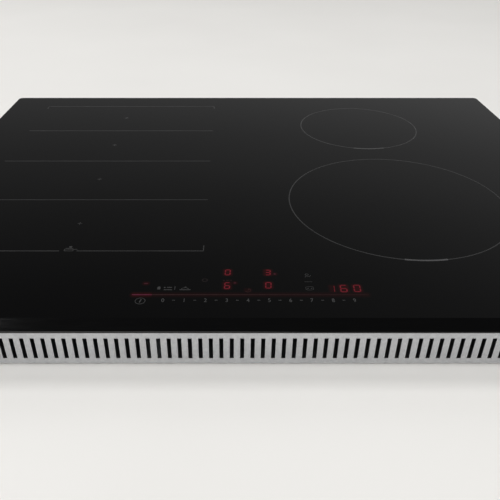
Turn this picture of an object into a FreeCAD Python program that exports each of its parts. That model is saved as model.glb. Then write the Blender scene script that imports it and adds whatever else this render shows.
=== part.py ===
import FreeCAD, Part
import math
import os

# Built-in induction hob, in millimetres.
# Origin: centre of the hob in plan, on the worktop surface that its seal rests on.
# +X is the user's right, -Y is the user's side and +Z is up.

Vector = FreeCAD.Vector
X_AXIS = Vector(1, 0, 0)
Y_AXIS = Vector(0, 1, 0)
UP = Vector(0, 0, 1)
ORIGIN = Vector(0, 0, 0)

# ---- driving dimensions -------------------------------------------------------------------

# Glass plate and the seal below it
GLASS_HALF_X = 332.0
GLASS_HALF_Y = 261.0
GLASS_THICKNESS = 4.0
GLASS_CORNER = 5.0
GLASS_EDGE = 0.5
FACET_RUN = 12.5
FACET_DROP = 2.4
SEAL_THICKNESS = 1.5
SEAL_INSET_X = 5.0
SEAL_INSET_Y = 4.0
SEAL_WIDTH = 10.0
SEAL_CORNER = 6.0
GLASS_BOTTOM = SEAL_THICKNESS
GLASS_TOP = GLASS_BOTTOM + GLASS_THICKNESS
FACET_START = -GLASS_HALF_Y + FACET_RUN

# Enamel print on the glass
PRINT_THICKNESS = 0.05
PRINT_TOP = GLASS_TOP + PRINT_THICKNESS
LINE_WIDTH = 1.0
ACCENT_WIDTH = 2.0
ACCENT_LENGTH = 36.0
DIGIT_STROKE = 0.45
MARK_STROKE = 0.6

# Cooking zones
ZONE_PITCH = 95.0
FLEX_X = -163.3
FLEX_LEFT = -279.3
FLEX_RIGHT = -47.8
FLEX_FRONT = -158.0
FLEX_COUNT = 4
FLEX_CENTRES = [FLEX_FRONT + ZONE_PITCH * (n + 0.5) for n in range(FLEX_COUNT)]
FLEX_TICK = 9.0
CENTRE_CROSS = 3.0
PAN_MARK_ROOM = 9.0
PAN_WIDTH = 8.0
PAN_DEPTH = 5.0
PAN_HANDLE = 3.6
FRONT_ZONE = (137.8, -67.9, 105.0)
REAR_ZONE = (138.0, 140.7, 72.5)

# Control strip
DIGIT_FIRST_X = -75.8
DIGIT_PITCH = 16.0
DIGIT_Y = -227.5
DIGIT_WIDTH = 2.6
DIGIT_HEIGHT = 5.0
DIGIT_DASH = 2.4
SLIDER_LEFT = -100.0
SLIDER_RIGHT = 80.2
SLIDER_Y = -220.5
SLIDER_WIDTH = 0.9
POWER_KEY = (-92.9, -227.7)
POWER_KEY_RADIUS = 4.1
LEFT_DISPLAY_X = -27.2
RIGHT_DISPLAY_X = 4.8
DISPLAY_Y = -200.0
DISPLAY_SIZE = (13.0, 33.0)
TIMER = (63.5, -211.7)
TIMER_SIZE = (34.0, 13.0)
SLIDER_LIGHT_WIDTH = 2.4
KEY_COLUMN_X = 36.2
KEY_COLUMN_Y = (-194.7, -203.5, -212.2)
COLUMN_RING = 1.6
COLUMN_DASH = 5.8
COLUMN_FRAME = (6.6, 4.8)
KEY_ROW_Y = -211.8
KEY_ROW_HEIGHT = 4.1
BLOCK_KEY_X = -80.3
BLOCK_KEY_WIDTH = 2.8
LIST_KEY_X = -73.1
LIST_KEY_WIDTH = 5.6
KEY_DIVIDER_X = -68.0
DISH_KEY_X = -60.1
DISH_KEY_WIDTH = 7.8
DISH_RADIUS = 2.6

# Bottom tray
TRAY_HALF_X = 303.0
TRAY_HALF_Y = 239.0
SHEET = 1.0
TRAY_BOTTOM = -47.0
TRAY_FLOOR = TRAY_BOTTOM + SHEET
TRAY_TOP = -0.5
TRAY_CORNER = 6.0
FOOT_BOTTOM = -49.0
FOOT_RADIUS = 12.0
FOOT_PLACES = [(x, y) for x in (-250.0, 250.0) for y in (-205.0, 205.0)]
BEAD_DEPTH = 1.2
BEAD_RADIUS = 4.0
BEAD_HALF_LENGTH = 236.0
BEAD_PLACES = [-170.0, -90.0, -30.0, 30.0, 90.0]
SLOT_WIDTH = 3.2
INLET_FIELD = 36.0
INLET_SLOT_STEPS = 5
OUTLET_SLOT_PITCH = 8.0
OUTLET_SLOT_STEPS = 34
OUTLET_BOTTOM = -42.0
OUTLET_TOP = -22.0
INNER_X = TRAY_HALF_X - SHEET
INNER_Y = TRAY_HALF_Y - SHEET
RATING_PLATE = (110.0, 190.0, -150.0, -110.0)
RATING_PLATE_THICKNESS = 0.4
RATING_PLATE_CORNER = 2.0

# Rails that carry the glass
RAIL_SHEET = 1.5
RAIL_TOP = 0.9
RAIL_DROP = -20.0
SIDE_FLANGE = 22.0
CROSS_FLANGE = 16.0
SIDE_RAIL_HALF = 231.0
CROSS_RAIL_HALF = 276.0
BOND_MARGIN = 2.0
SIDE_BOND_MARGIN = 3.0
SCREW_HEIGHT = -10.0
TRAY_SCREW_RADIUS = 2.0
TRAY_SCREW_HOLE = 2.05
TRAY_SCREW_LENGTH = 5.0
TRAY_SCREW_HEAD = 2.2
TRAY_SCREW_HEAD_RADIUS = 3.6
TRAY_SCREW_DRIVE = 1.0
TRAY_SCREW_DRIVE_RADIUS = 1.3
SIDE_SCREWS_Y = (-110.0, 0.0, 110.0)
CROSS_SCREWS_X = (-200.0, 200.0)

# Coil deck and what stands on it
DECK_BOTTOM = -14.0
DECK_TOP = -12.5
DECK_FRONT = -178.0
DECK_REAR = 236.0
DECK_HALF_X = 299.0
DECK_CORNER = 8.0
FLEX_SENSOR_WINDOW = 10.0
ROUND_SENSOR_WINDOW = 12.0
LEAD_WINDOW = (8.0, 20.0)
POST_RADIUS = 4.0
INNER_POSTS = [(x, y) for x in (-59.0, 39.0) for y in (-150.0, 40.0)]
CORNER_POSTS = [(x, y) for x in (-285.0, 285.0) for y in (-173.0, 215.0)]
REAR_POSTS = [(-90.0, 200.0), (80.0, 200.0)]
CARRIER_BOTTOM = -5.0
CARRIER_TOP = -3.6
FLEX_CARRIER_MARGIN = 2.0
FLEX_CARRIER_CORNER = 30.0
ROUND_CARRIER_MARGIN = 4.0
WINDING_BOTTOM = -3.5
WINDING_TOP = 0.9
MICA_BOTTOM = 1.0
MICA_HOLE = 8.0
FERRITE_BOTTOM = -9.5
FERRITE_WIDTH = 8.0
FLEX_FERRITE_LENGTH = 76.0
FLEX_FERRITE_PITCH = 26.0
FERRITE_INNER_GAP = 6.0
FERRITE_OUTER_GAP = 4.0
SPRING_HALF = 16.0
SPRING_WIDTH = 7.0
SPRING_THICKNESS = 0.6
SPRING_FOOT = 1.2
FLEX_SPRING_OFFSET = 65.0
TURN_PITCH = 3.5
TURN_GAP = 0.5
WINDING_WEB = 1.0
FLEX_STRAIGHT_HALF = 69.0
FLEX_OUTER_RADIUS = 45.0
FLEX_INNER_RADIUS = 17.0
FRONT_COIL = (137.8, -67.9, 24.0, 101.0, 10)
REAR_COIL = (138.0, 140.7, 19.0, 68.0, 8)
SENSOR_RADIUS = 5.0
SENSOR_CLEARANCE = 0.1
SENSOR_CLIP = 1.2
SENSOR_CLIP_RADIUS = 8.0
GLASS_CLEARANCE = 0.05
LEAD_RADIUS = 1.3
LEAD_HEIGHT = -2.2
LEAD_BEND = 5.0
LEAD_SPREAD = 5.0
FLEX_LEAD_X = -285.0
FRONT_LEAD_X = 248.0
REAR_LEAD_X = 232.0

# Power electronics
BOARD_BOTTOM = -43.5
BOARD_TOP = -41.9
SINK_BOTTOM = -38.0
FIN_BOTTOM = -33.5
FIN_TOP = -16.0
SINK_HALF_X = 42.0
SINK_HALF_Y = 112.0
FIN_COUNT = 15
FIN_THICKNESS = 1.4
LEFT_COLUMN_X = -175.0
RIGHT_COLUMN_X = 165.0
BOARD_FRONT = -168.0
BOARD_REAR = 116.0
WING_REAR = 195.0
LEFT_BOARD = (-296.0, -64.0)
RIGHT_BOARD = (44.0, 296.0)
LEFT_WING = (-296.0, -230.0)
RIGHT_WING = (226.0, 296.0)
FILTER_BOARD = (-54.0, 34.0, 56.0, 158.0)
BOARD_RIM = 6.0

# Components on the boards: places on a power board are counted from its heat sink's middle,
# and sizes are (width, depth, height) or (radius, height)
TRANSISTOR_SIZE = (15.0, 20.0)
TRANSISTOR_FIRST_Y = -95.0
TRANSISTOR_PITCH = 38.0
TRANSISTOR_COUNT = 6
CAPACITOR_X = -88.0
CAPACITOR_SIZE = (24.0, 34.0, 20.0)
CHOKE_X = -60.0
CHOKE_SIZE = (13.0, 12.0)
RESONANT_FIRST_Y = -140.0
RESONANT_PITCH = 50.0
RESONANT_COUNT = 5
RESERVOIR_X = 62.0
RESERVOIR_Y = (-145.0, -112.0)
RESERVOIR_SIZE = (12.0, 24.0)
TRANSFORMER_X = 64.0
TRANSFORMER_SIZE = (30.0, 38.0, 22.0)
RELAY_X = (58.0, 84.0)
RELAY_Y = (60.0, 90.0)
RELAY_SIZE = (16.0, 24.0, 15.0)
LEAD_TERMINAL_SIZE = (7.0, 18.0, 6.0)
CORE_HOLE_RATIO = 0.45

# Mains filter, with places counted from the middle and the front edge of its board
FILTER_CHOKES = [(-18.0, 40.0, 19.0, 18.0), (24.0, 28.0, 14.0, 14.0)]
FILTER_CAPACITORS = [(24.0, 62.0, 26.0, 14.0, 20.0), (-20.0, 78.0, 30.0, 14.0, 18.0)]
FILTER_FUSE = (0.0, 8.0, 50.0, 8.0, 10.0)
FILTER_CANS = [(8.0 + 12.0 * n, 87.0, 4.5, 12.0) for n in range(3)]

# Cooling fans
FAN_Y = 180.0
FAN_HALF = 46.0
FAN_BOTTOM = TRAY_FLOOR
FAN_TOP = -18.0
FAN_WALL = 1.5
FAN_INLET = 33.0
IMPELLER_RADIUS = 38.0
IMPELLER_BOTTOM = -43.0
IMPELLER_TOP = -24.6
BLADE_COUNT = 13
BLADE_LENGTH = 25.0
BLADE_THICKNESS = 1.2
BLADE_SWEEP = 32.0
HUB_RADIUS = 14.0
HUB_PLATE = 1.4
MOTOR_RADIUS = 13.0
MOTOR_GAP = 0.6
FAN_PIN = 1.5
FAN_BORE = 1.55
FAN_CORNER = 3.0

# Mains connection
COVER_LEFT = -49.0
COVER_RIGHT = 29.0
COVER_REAR = 231.5
COVER_HINGE_Y = 171.0
COVER_HINGE_Z = -44.6
COVER_KNUCKLE = 2.4
COVER_PIN = 1.2
COVER_PIN_HOLE = 1.25
COVER_PIN_REACH = 3.0
COVER_PLATE = 1.2
COVER_RIB = 1.2
COVER_RIB_INSET = 12.0
COVER_RIB_RISE = 1.6
COVER_GAP = 0.5
COVER_EAR = 1.2
COVER_EAR_GAP = 1.4
COVER_EAR_HALF = 2.6
INLET_X = -10.0
INLET_Z = -33.0
INLET_RADIUS = 6.0
BUSHING_NECK = 9.0
BUSHING_FLANGE = 11.0
BUSHING_INNER_FLANGE = 3.0
BUSHING_OUTER_FLANGE = 2.0
HOOD_LEFT = -54.0
HOOD_RIGHT = 34.0
HOOD_FRONT = 163.0
HOOD_REAR = 237.0
HOOD_TOP = -21.0
HOOD_WALL = 1.5
HOOD_CEILING = HOOD_TOP - HOOD_WALL
HOOD_NOTCH = (-40.0, 20.0, -34.0, -26.0)
TERMINAL_Y = 190.0
TERMINAL_COUNT = 5
TERMINAL_PITCH = 13.0
TERMINAL_BLOCK = (70.0, 18.0)
TERMINAL_BLOCK_BOTTOM = -37.0
TERMINAL_WELL = 3.6
TERMINAL_SCREW_RADIUS = 3.0
TERMINAL_SCREW_BOTTOM = -34.0
TERMINAL_SCREW_TOP = -31.0
TERMINAL_SLOT = 0.8
PORT_CLEARANCE = 0.3
STRAP_Y = 216.0
STRAP_HALF_LENGTH = 18.0
STRAP_HALF_WIDTH = 4.0
STRAP_BOTTOM = -42.0
STRAP_TOP = -38.6
STRAP_CORNER = 3.0
STRAP_SCREW_X = 13.0
STRAP_SCREW_RADIUS = 1.5
STRAP_SCREW_HOLE = 1.6
STRAP_HEAD_RADIUS = 2.8
STRAP_HEAD_BOTTOM = -43.6

# Control unit
CONTROL_LEFT = -110.0
CONTROL_RIGHT = 94.0
CONTROL_FRONT = -236.0
CONTROL_REAR = -181.0
CONTROL_TOP = 1.4
CONTROL_WALL = 1.5
CONTROL_BOARD_BOTTOM = -7.0
CONTROL_BOARD_TOP = -5.4
CONTROL_BOARD_GAP = 1.5
DISPLAY_TOP = 0.9
PILLARS = [(x, y) for x in (-104.0, -8.0, 88.0) for y in (-230.0, -187.0)]
PILLAR_RADIUS = 3.0
TOUCH_SPRING = (1.4, 2.2)
RIBBON_X = -96.0
RIBBON_WIDTH = 16.0
RIBBON_THICKNESS = 1.0
RIBBON_FRONT_Y = -200.0
RIBBON_REAR_Y = -158.5
RIBBON_BEND_Z = -30.1
RIBBON_LOW_Z = -36.1
RIBBON_ROOM = 3.0

# Worktop clamps
CLAMP_X = 309.2
CLAMP_Y = 170.0
CLAMP_HALF_WIDTH = 10.0
CLAMP_REACH = 314.6
EAR_HALF_WIDTH = 6.0
EAR_BOTTOM = -46.0
EAR_TOP = -5.0
CLAMP_SCREW_RADIUS = 2.5
CLAMP_SCREW_HOLE = 2.56
CLAMP_SCREW_END = 2.0
CLAMP_HEAD_BOTTOM = -48.8
CLAMP_HEAD_RADIUS = 4.2
CLAMP_HEAD_GAP = 0.05
CLAMP_SLOT = (5.2, 1.0)
CLAMP_SLOT_DEPTH = 1.2
CLAMP_RING_RADIUS = 3.6
CLAMP_RING_GAP = 0.1
NUT_RADIUS = 4.9
NUT_RIM_RADIUS = 4.4
NUT_BOTTOM = -44.6
NUT_FLANGE_TOP = -43.2
NUT_SLEEVE_TOP = -40.0
NUT_TOP = -38.8
SLEEVE_RADIUS = 3.9
CLAW_HOLE = 3.96
CLAW_BOTTOM = -43.1
CLAW_TOP = -40.1
CLAW_LENGTH = 30.0
CLAW_HALF_WIDTH = 4.5
CLAW_EYE = 5.1
CLAW_TOOTH = 4.0
CLAW_TOOTH_TOP = -37.1

# How far a cutting shape reaches past the face that it opens
OVER = 1.0

# ---- shape helpers ------------------------------------------------------------------------


def box(x0, x1, y0, y1, z0, z1):
    return Part.makeBox(x1 - x0, y1 - y0, z1 - z0, Vector(x0, y0, z0))


def block(x, y, width, depth, z0, z1):
    """A box centred on (x, y) in plan."""
    return box(x - width / 2, x + width / 2, y - depth / 2, y + depth / 2, z0, z1)


def rounded_box(x0, x1, y0, y1, z0, z1, radius):
    """A box whose four upright edges are rounded."""
    solid = box(x0, x1, y0, y1, z0, z1)
    upright = [e for e in solid.Edges if abs(e.tangentAt(e.FirstParameter).z) > 0.9]
    return solid.makeFillet(radius, upright)


def cylinder(x, y, z0, z1, radius):
    return Part.makeCylinder(radius, z1 - z0, Vector(x, y, z0), UP)


def cylinder_along(start, direction, length, radius):
    return Part.makeCylinder(radius, length, start, direction)


def tube(x, y, z0, z1, inner, outer):
    return cylinder(x, y, z0, z1, outer).cut(cylinder(x, y, z0, z1, inner))


def sector(x, y, z0, z1, inner, outer, first_deg, last_deg):
    """A piece of a flat ring between two angles, counted from +X towards +Y."""
    spans = [Vector(math.cos(math.radians(a)), math.sin(math.radians(a)), 0)
             for a in (first_deg, (first_deg + last_deg) / 2, last_deg)]
    centre = Vector(x, y, z0)
    outer_arc = Part.Arc(*[centre + d * outer for d in spans]).toShape()
    inner_arc = Part.Arc(*[centre + d * inner for d in reversed(spans)]).toShape()
    first_side = Part.makeLine(centre + spans[2] * outer, centre + spans[2] * inner)
    last_side = Part.makeLine(centre + spans[0] * inner, centre + spans[0] * outer)
    outline = Part.Wire([outer_arc, first_side, inner_arc, last_side])
    return Part.Face(outline).extrude(UP * (z1 - z0))


def stadium(x, y, half_straight, radius, z0, z1):
    """An oval with two straight sides along X and two half-round ends."""
    left = x - half_straight
    right = x + half_straight
    corners = [Vector(left, y - radius, z0), Vector(right, y - radius, z0),
               Vector(right, y + radius, z0), Vector(left, y + radius, z0)]
    edges = [
        Part.makeLine(corners[0], corners[1]),
        Part.Arc(corners[1], Vector(right + radius, y, z0), corners[2]).toShape(),
        Part.makeLine(corners[2], corners[3]),
        Part.Arc(corners[3], Vector(left - radius, y, z0), corners[0]).toShape(),
    ]
    return Part.Face(Part.Wire(edges)).extrude(UP * (z1 - z0))


def prism(points, direction):
    """A closed polygon of points pushed along a vector."""
    return Part.Face(Part.makePolygon(points + [points[0]])).extrude(direction)


def fuse(shapes):
    return shapes[0].multiFuse(shapes[1:]).removeSplitter()


def group(shapes):
    """Separate solids that share one node."""
    solids = []
    for shape in shapes:
        solids.extend(shape.Solids)
    return Part.makeCompound(solids)


def turned(shape, degrees):
    """The shape turned about the upright axis through the origin."""
    copy = shape.copy()
    copy.rotate(ORIGIN, UP, degrees)
    return copy


# ---- glass, print and seal ----------------------------------------------------------------

SEGMENTS = {
    "0": "abcdef", "1": "bc", "2": "abged", "3": "abgcd", "4": "fgbc",
    "5": "afgcd", "6": "afgecd", "7": "abc", "8": "abcdefg", "9": "abcdfg",
}


def glass_plate():
    solid = rounded_box(-GLASS_HALF_X, GLASS_HALF_X, -GLASS_HALF_Y, GLASS_HALF_Y,
                        GLASS_BOTTOM, GLASS_TOP, GLASS_CORNER)
    rim = [e for e in solid.Edges if e.BoundBox.ZMin > GLASS_TOP - 0.01]
    solid = solid.makeChamfer(GLASS_EDGE, rim)
    slope = FACET_DROP / FACET_RUN
    left = -GLASS_HALF_X - OVER
    wedge = [Vector(left, FACET_START, GLASS_TOP),
             Vector(left, -GLASS_HALF_Y - OVER, GLASS_TOP - FACET_DROP - slope * OVER),
             Vector(left, -GLASS_HALF_Y - OVER, GLASS_TOP + OVER),
             Vector(left, FACET_START, GLASS_TOP + OVER)]
    return solid.cut(prism(wedge, X_AXIS * (2 * (GLASS_HALF_X + OVER))))


def printed(x, y, width, depth):
    return block(x, y, width, depth, GLASS_TOP, PRINT_TOP)


def printed_ring(x, y, radius, width):
    return tube(x, y, GLASS_TOP, PRINT_TOP, radius - width / 2, radius + width / 2)


def printed_frame(x, y, width, depth, stroke):
    hollow = block(x, y, width - 2 * stroke, depth - 2 * stroke, GLASS_TOP, PRINT_TOP)
    return printed(x, y, width, depth).cut(hollow)


def printed_digit(digit, x, y):
    """A plain number made of straight bars."""
    stroke = DIGIT_STROKE
    side = (DIGIT_WIDTH - stroke) / 2
    half = (DIGIT_HEIGHT - stroke) / 2
    level = (DIGIT_WIDTH, stroke)
    upright = (stroke, half + stroke)
    bars = {
        "a": (0, half, *level), "g": (0, 0, *level), "d": (0, -half, *level),
        "b": (side, half / 2, *upright), "c": (side, -half / 2, *upright),
        "f": (-side, half / 2, *upright), "e": (-side, -half / 2, *upright),
    }
    chosen = []
    for segment in SEGMENTS[digit]:
        step_x, step_y, width, depth = bars[segment]
        chosen.append(printed(x + step_x, y + step_y, width, depth))
    return fuse(chosen)


def zone_ring(x, y, radius):
    """A thin ring with a heavier arc on the user's side."""
    half_angle = math.degrees(ACCENT_LENGTH / 2 / radius)
    front = -90.0
    thin = (radius - LINE_WIDTH / 2, radius + LINE_WIDTH / 2)
    heavy = (radius - ACCENT_WIDTH / 2, radius + ACCENT_WIDTH / 2)
    z = (GLASS_TOP, PRINT_TOP)
    return [sector(x, y, *z, *thin, front + half_angle, front + 360 - half_angle),
            sector(x, y, *z, *heavy, front - half_angle, front + half_angle)]


def pan_mark(x, y):
    """A small generic pan: a frame for its body and a bar for its handle."""
    handle_x = x + PAN_WIDTH / 2 + PAN_HANDLE / 2 + MARK_STROKE / 2
    return [printed_frame(x, y, PAN_WIDTH, PAN_DEPTH, MARK_STROKE),
            printed(handle_x, y + PAN_DEPTH / 4, PAN_HANDLE, MARK_STROKE)]


def zone_print():
    marks = zone_ring(*FRONT_ZONE) + zone_ring(*REAR_ZONE)
    span = FLEX_RIGHT - FLEX_LEFT
    middle = (FLEX_RIGHT + FLEX_LEFT) / 2
    for n in range(1, FLEX_COUNT):
        marks.append(printed(middle, FLEX_FRONT + n * ZONE_PITCH, span, LINE_WIDTH))
    rear = FLEX_FRONT + FLEX_COUNT * ZONE_PITCH
    ticks = [printed(x, rear - FLEX_TICK / 2, LINE_WIDTH, FLEX_TICK)
             for x in (FLEX_LEFT + LINE_WIDTH / 2, FLEX_RIGHT - LINE_WIDTH / 2)]
    marks.append(fuse([printed(middle, rear, span, LINE_WIDTH)] + ticks))
    arm = span / 2 - PAN_MARK_ROOM
    for side in (-1, 1):
        line = printed(middle + side * (PAN_MARK_ROOM + arm / 2), FLEX_FRONT, arm, LINE_WIDTH)
        end = middle + side * (span - LINE_WIDTH) / 2
        tick = printed(end, FLEX_FRONT + FLEX_TICK / 2, LINE_WIDTH, FLEX_TICK)
        marks.append(fuse([line, tick]))
    marks.extend(pan_mark(middle, FLEX_FRONT))
    for y in FLEX_CENTRES:
        marks.append(fuse([printed(middle, y, CENTRE_CROSS, MARK_STROKE),
                           printed(middle, y, MARK_STROKE, CENTRE_CROSS)]))
    return group(marks)


def slider_print():
    """The slider line, and below it the numbers 0 to 9 with a dash between neighbours."""
    middle = (SLIDER_LEFT + SLIDER_RIGHT) / 2
    marks = [printed(middle, SLIDER_Y, SLIDER_RIGHT - SLIDER_LEFT, SLIDER_WIDTH)]
    places = [DIGIT_FIRST_X + n * DIGIT_PITCH for n in range(10)]
    for n, x in enumerate(places):
        marks.append(printed_digit(str(n), x, DIGIT_Y))
    for x in places[:-1]:
        marks.append(printed(x + DIGIT_PITCH / 2, DIGIT_Y, DIGIT_DASH, DIGIT_STROKE))
    return marks


def power_print():
    """The standby mark: a ring with a short stroke in it."""
    return [printed_ring(*POWER_KEY, POWER_KEY_RADIUS, MARK_STROKE),
            printed(*POWER_KEY, MARK_STROKE, POWER_KEY_RADIUS)]


def key_column_print():
    """Beside the timer: a ring, a dash and a frame, one below the other."""
    ring_y, dash_y, frame_y = KEY_COLUMN_Y
    return [printed_ring(KEY_COLUMN_X, ring_y, COLUMN_RING, MARK_STROKE),
            printed(KEY_COLUMN_X, dash_y, COLUMN_DASH, MARK_STROKE),
            printed_frame(KEY_COLUMN_X, frame_y, *COLUMN_FRAME, MARK_STROKE)]


def key_row_print():
    """Left of the displays: a block, a two-line list, a divider and a covered dish."""
    low = KEY_ROW_Y - KEY_ROW_HEIGHT / 2
    marks = [printed(BLOCK_KEY_X, KEY_ROW_Y, BLOCK_KEY_WIDTH, KEY_ROW_HEIGHT)]
    for y in (low + KEY_ROW_HEIGHT / 4, low + 3 * KEY_ROW_HEIGHT / 4):
        marks.append(printed(LIST_KEY_X, y, LIST_KEY_WIDTH, MARK_STROKE))
    marks.append(printed(KEY_DIVIDER_X, KEY_ROW_Y, MARK_STROKE, KEY_ROW_HEIGHT))
    marks.append(printed(DISH_KEY_X, low + MARK_STROKE / 2, DISH_KEY_WIDTH, MARK_STROKE))
    dome = (DISH_RADIUS - MARK_STROKE, DISH_RADIUS)
    marks.append(sector(DISH_KEY_X, low + 2 * MARK_STROKE, GLASS_TOP, PRINT_TOP, *dome, 0, 180))
    return marks


def control_print():
    return group(slider_print() + power_print() + key_column_print() + key_row_print())


def seal_gasket():
    """A flat foam frame under the rim of the glass."""
    x = GLASS_HALF_X - SEAL_INSET_X
    y = GLASS_HALF_Y - SEAL_INSET_Y
    pad = rounded_box(-x, x, -y, y, 0, SEAL_THICKNESS, SEAL_CORNER)
    x -= SEAL_WIDTH
    y -= SEAL_WIDTH
    hollow = rounded_box(-x, x, -y, y, -OVER, SEAL_THICKNESS + OVER, SEAL_CORNER)
    return pad.cut(hollow)


# ---- rails and bond -----------------------------------------------------------------------


def screw_holes_x(x0, x1):
    """Holes along X through both side walls, one per side screw."""
    return [cylinder_along(Vector(x0, y, SCREW_HEIGHT), X_AXIS, x1 - x0, TRAY_SCREW_HOLE)
            for y in SIDE_SCREWS_Y]


def screw_holes_y(y0, y1):
    return [cylinder_along(Vector(x, y0, SCREW_HEIGHT), Y_AXIS, y1 - y0, TRAY_SCREW_HOLE)
            for x in CROSS_SCREWS_X]


def side_rail():
    """The right-hand rail: a flange under the glass and a leg down the tray wall."""
    flange = box(INNER_X - SIDE_FLANGE, INNER_X, -SIDE_RAIL_HALF, SIDE_RAIL_HALF,
                 RAIL_TOP - RAIL_SHEET, RAIL_TOP)
    leg = box(INNER_X - RAIL_SHEET, INNER_X, -SIDE_RAIL_HALF, SIDE_RAIL_HALF, RAIL_DROP, RAIL_TOP)
    holes = screw_holes_x(INNER_X - RAIL_SHEET - OVER, INNER_X + OVER)
    return fuse([flange, leg]).cut(Part.makeCompound(holes))


def side_rails():
    return group([side_rail(), turned(side_rail(), 180)])


def rear_rail():
    flange = box(-CROSS_RAIL_HALF, CROSS_RAIL_HALF, INNER_Y - CROSS_FLANGE, INNER_Y,
                 RAIL_TOP - RAIL_SHEET, RAIL_TOP)
    leg = box(-CROSS_RAIL_HALF, CROSS_RAIL_HALF, INNER_Y - RAIL_SHEET, INNER_Y,
              RAIL_DROP, RAIL_TOP)
    holes = screw_holes_y(INNER_Y - RAIL_SHEET - OVER, INNER_Y + OVER)
    return fuse([flange, leg]).cut(Part.makeCompound(holes))


def front_rail():
    """The rear rail turned round, with its flange cut away for the control unit."""
    room = 4.0
    window = box(CONTROL_LEFT - room, CONTROL_RIGHT + room, -INNER_Y + RAIL_SHEET,
                 -INNER_Y + CROSS_FLANGE + OVER, RAIL_DROP, RAIL_TOP + OVER)
    return turned(rear_rail(), 180).cut(window)


def bonding_silicone():
    """Beads between the rail flanges and the glass, with a gap for the control unit."""
    side_x = (INNER_X - SIDE_FLANGE + SIDE_BOND_MARGIN, INNER_X - SIDE_BOND_MARGIN)
    side_y = SIDE_RAIL_HALF - BOND_MARGIN
    cross_y = (INNER_Y - CROSS_FLANGE + BOND_MARGIN, INNER_Y - BOND_MARGIN)
    room = 6.0
    z = (RAIL_TOP, GLASS_BOTTOM)
    beads = [
        box(*side_x, -side_y, side_y, *z),
        box(-side_x[1], -side_x[0], -side_y, side_y, *z),
        box(-CROSS_RAIL_HALF, CROSS_RAIL_HALF, *cross_y, *z),
        box(-CROSS_RAIL_HALF, CONTROL_LEFT - room, -cross_y[1], -cross_y[0], *z),
        box(CONTROL_RIGHT + room, CROSS_RAIL_HALF, -cross_y[1], -cross_y[0], *z),
    ]
    return group(beads)


# ---- bottom tray --------------------------------------------------------------------------


def inlet_slots(x, y):
    """A round field of narrow slots in the tray floor under a fan."""
    slots = []
    for step in range(-INLET_SLOT_STEPS, INLET_SLOT_STEPS + 1):
        offset = step * 2 * SLOT_WIDTH
        half = math.sqrt(INLET_FIELD ** 2 - offset ** 2)
        slots.append(block(x + offset, y, SLOT_WIDTH, 2 * half,
                           TRAY_BOTTOM - OVER, TRAY_FLOOR + OVER))
    return slots


def outlet_slots():
    """A row of upright slots along the front wall, where the cooling air leaves."""
    return [block(n * OUTLET_SLOT_PITCH, -TRAY_HALF_Y, SLOT_WIDTH, 4 * SHEET,
                  OUTLET_BOTTOM, OUTLET_TOP)
            for n in range(-OUTLET_SLOT_STEPS, OUTLET_SLOT_STEPS + 1)]


def cover_ears():
    """Two small tabs on the tray floor that carry the pins of the terminal cover."""
    ears = []
    for x0 in (COVER_LEFT - COVER_EAR_GAP - COVER_EAR, COVER_RIGHT + COVER_EAR_GAP):
        tab = box(x0, x0 + COVER_EAR, COVER_HINGE_Y - COVER_EAR_HALF,
                  COVER_HINGE_Y + COVER_EAR_HALF,
                  TRAY_FLOOR - SHEET / 2, COVER_HINGE_Z + COVER_KNUCKLE)
        hole = cylinder_along(Vector(x0 - OVER, COVER_HINGE_Y, COVER_HINGE_Z), X_AXIS,
                              COVER_EAR + 2 * OVER, COVER_PIN_HOLE)
        ears.append(tab.cut(hole))
    return ears


def bottom_tray():
    """The sheet-steel tray: pressed feet and stiffening beads, slots, and the terminal opening."""
    outer = rounded_box(-TRAY_HALF_X, TRAY_HALF_X, -TRAY_HALF_Y, TRAY_HALF_Y,
                        TRAY_BOTTOM, TRAY_TOP, TRAY_CORNER)
    feet = [cylinder(x, y, FOOT_BOTTOM, TRAY_FLOOR, FOOT_RADIUS) for x, y in FOOT_PLACES]
    beads = [stadium(0, y, BEAD_HALF_LENGTH, BEAD_RADIUS, TRAY_BOTTOM - BEAD_DEPTH, TRAY_FLOOR)
             for y in BEAD_PLACES]
    hollow = rounded_box(-INNER_X, INNER_X, -INNER_Y, INNER_Y, TRAY_FLOOR, TRAY_TOP + OVER,
                         TRAY_CORNER - SHEET)
    dimples = [cylinder(x, y, FOOT_BOTTOM + SHEET, TRAY_FLOOR + OVER, FOOT_RADIUS - SHEET)
               for x, y in FOOT_PLACES]
    grooves = [stadium(0, y, BEAD_HALF_LENGTH, BEAD_RADIUS - SHEET, TRAY_FLOOR - BEAD_DEPTH,
                       TRAY_FLOOR + OVER) for y in BEAD_PLACES]
    cuts = [hollow] + dimples + grooves
    cuts += inlet_slots(LEFT_COLUMN_X, FAN_Y) + inlet_slots(RIGHT_COLUMN_X, FAN_Y)
    cuts += outlet_slots()
    cuts.append(box(COVER_LEFT - COVER_GAP, COVER_RIGHT + COVER_GAP,
                    COVER_HINGE_Y - COVER_KNUCKLE - COVER_GAP, COVER_REAR + COVER_GAP,
                    TRAY_BOTTOM - OVER, TRAY_FLOOR + OVER))
    cuts.append(cylinder_along(Vector(INLET_X, INNER_Y - OVER, INLET_Z), Y_AXIS,
                               SHEET + 2 * OVER, BUSHING_NECK))
    reach_x = TRAY_HALF_X + OVER
    reach_y = TRAY_HALF_Y + OVER
    cuts += screw_holes_x(-reach_x, reach_x)
    cuts += screw_holes_y(-reach_y, reach_y)
    body = fuse([outer] + feet + beads).cut(cuts)
    return fuse([body] + cover_ears())


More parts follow.
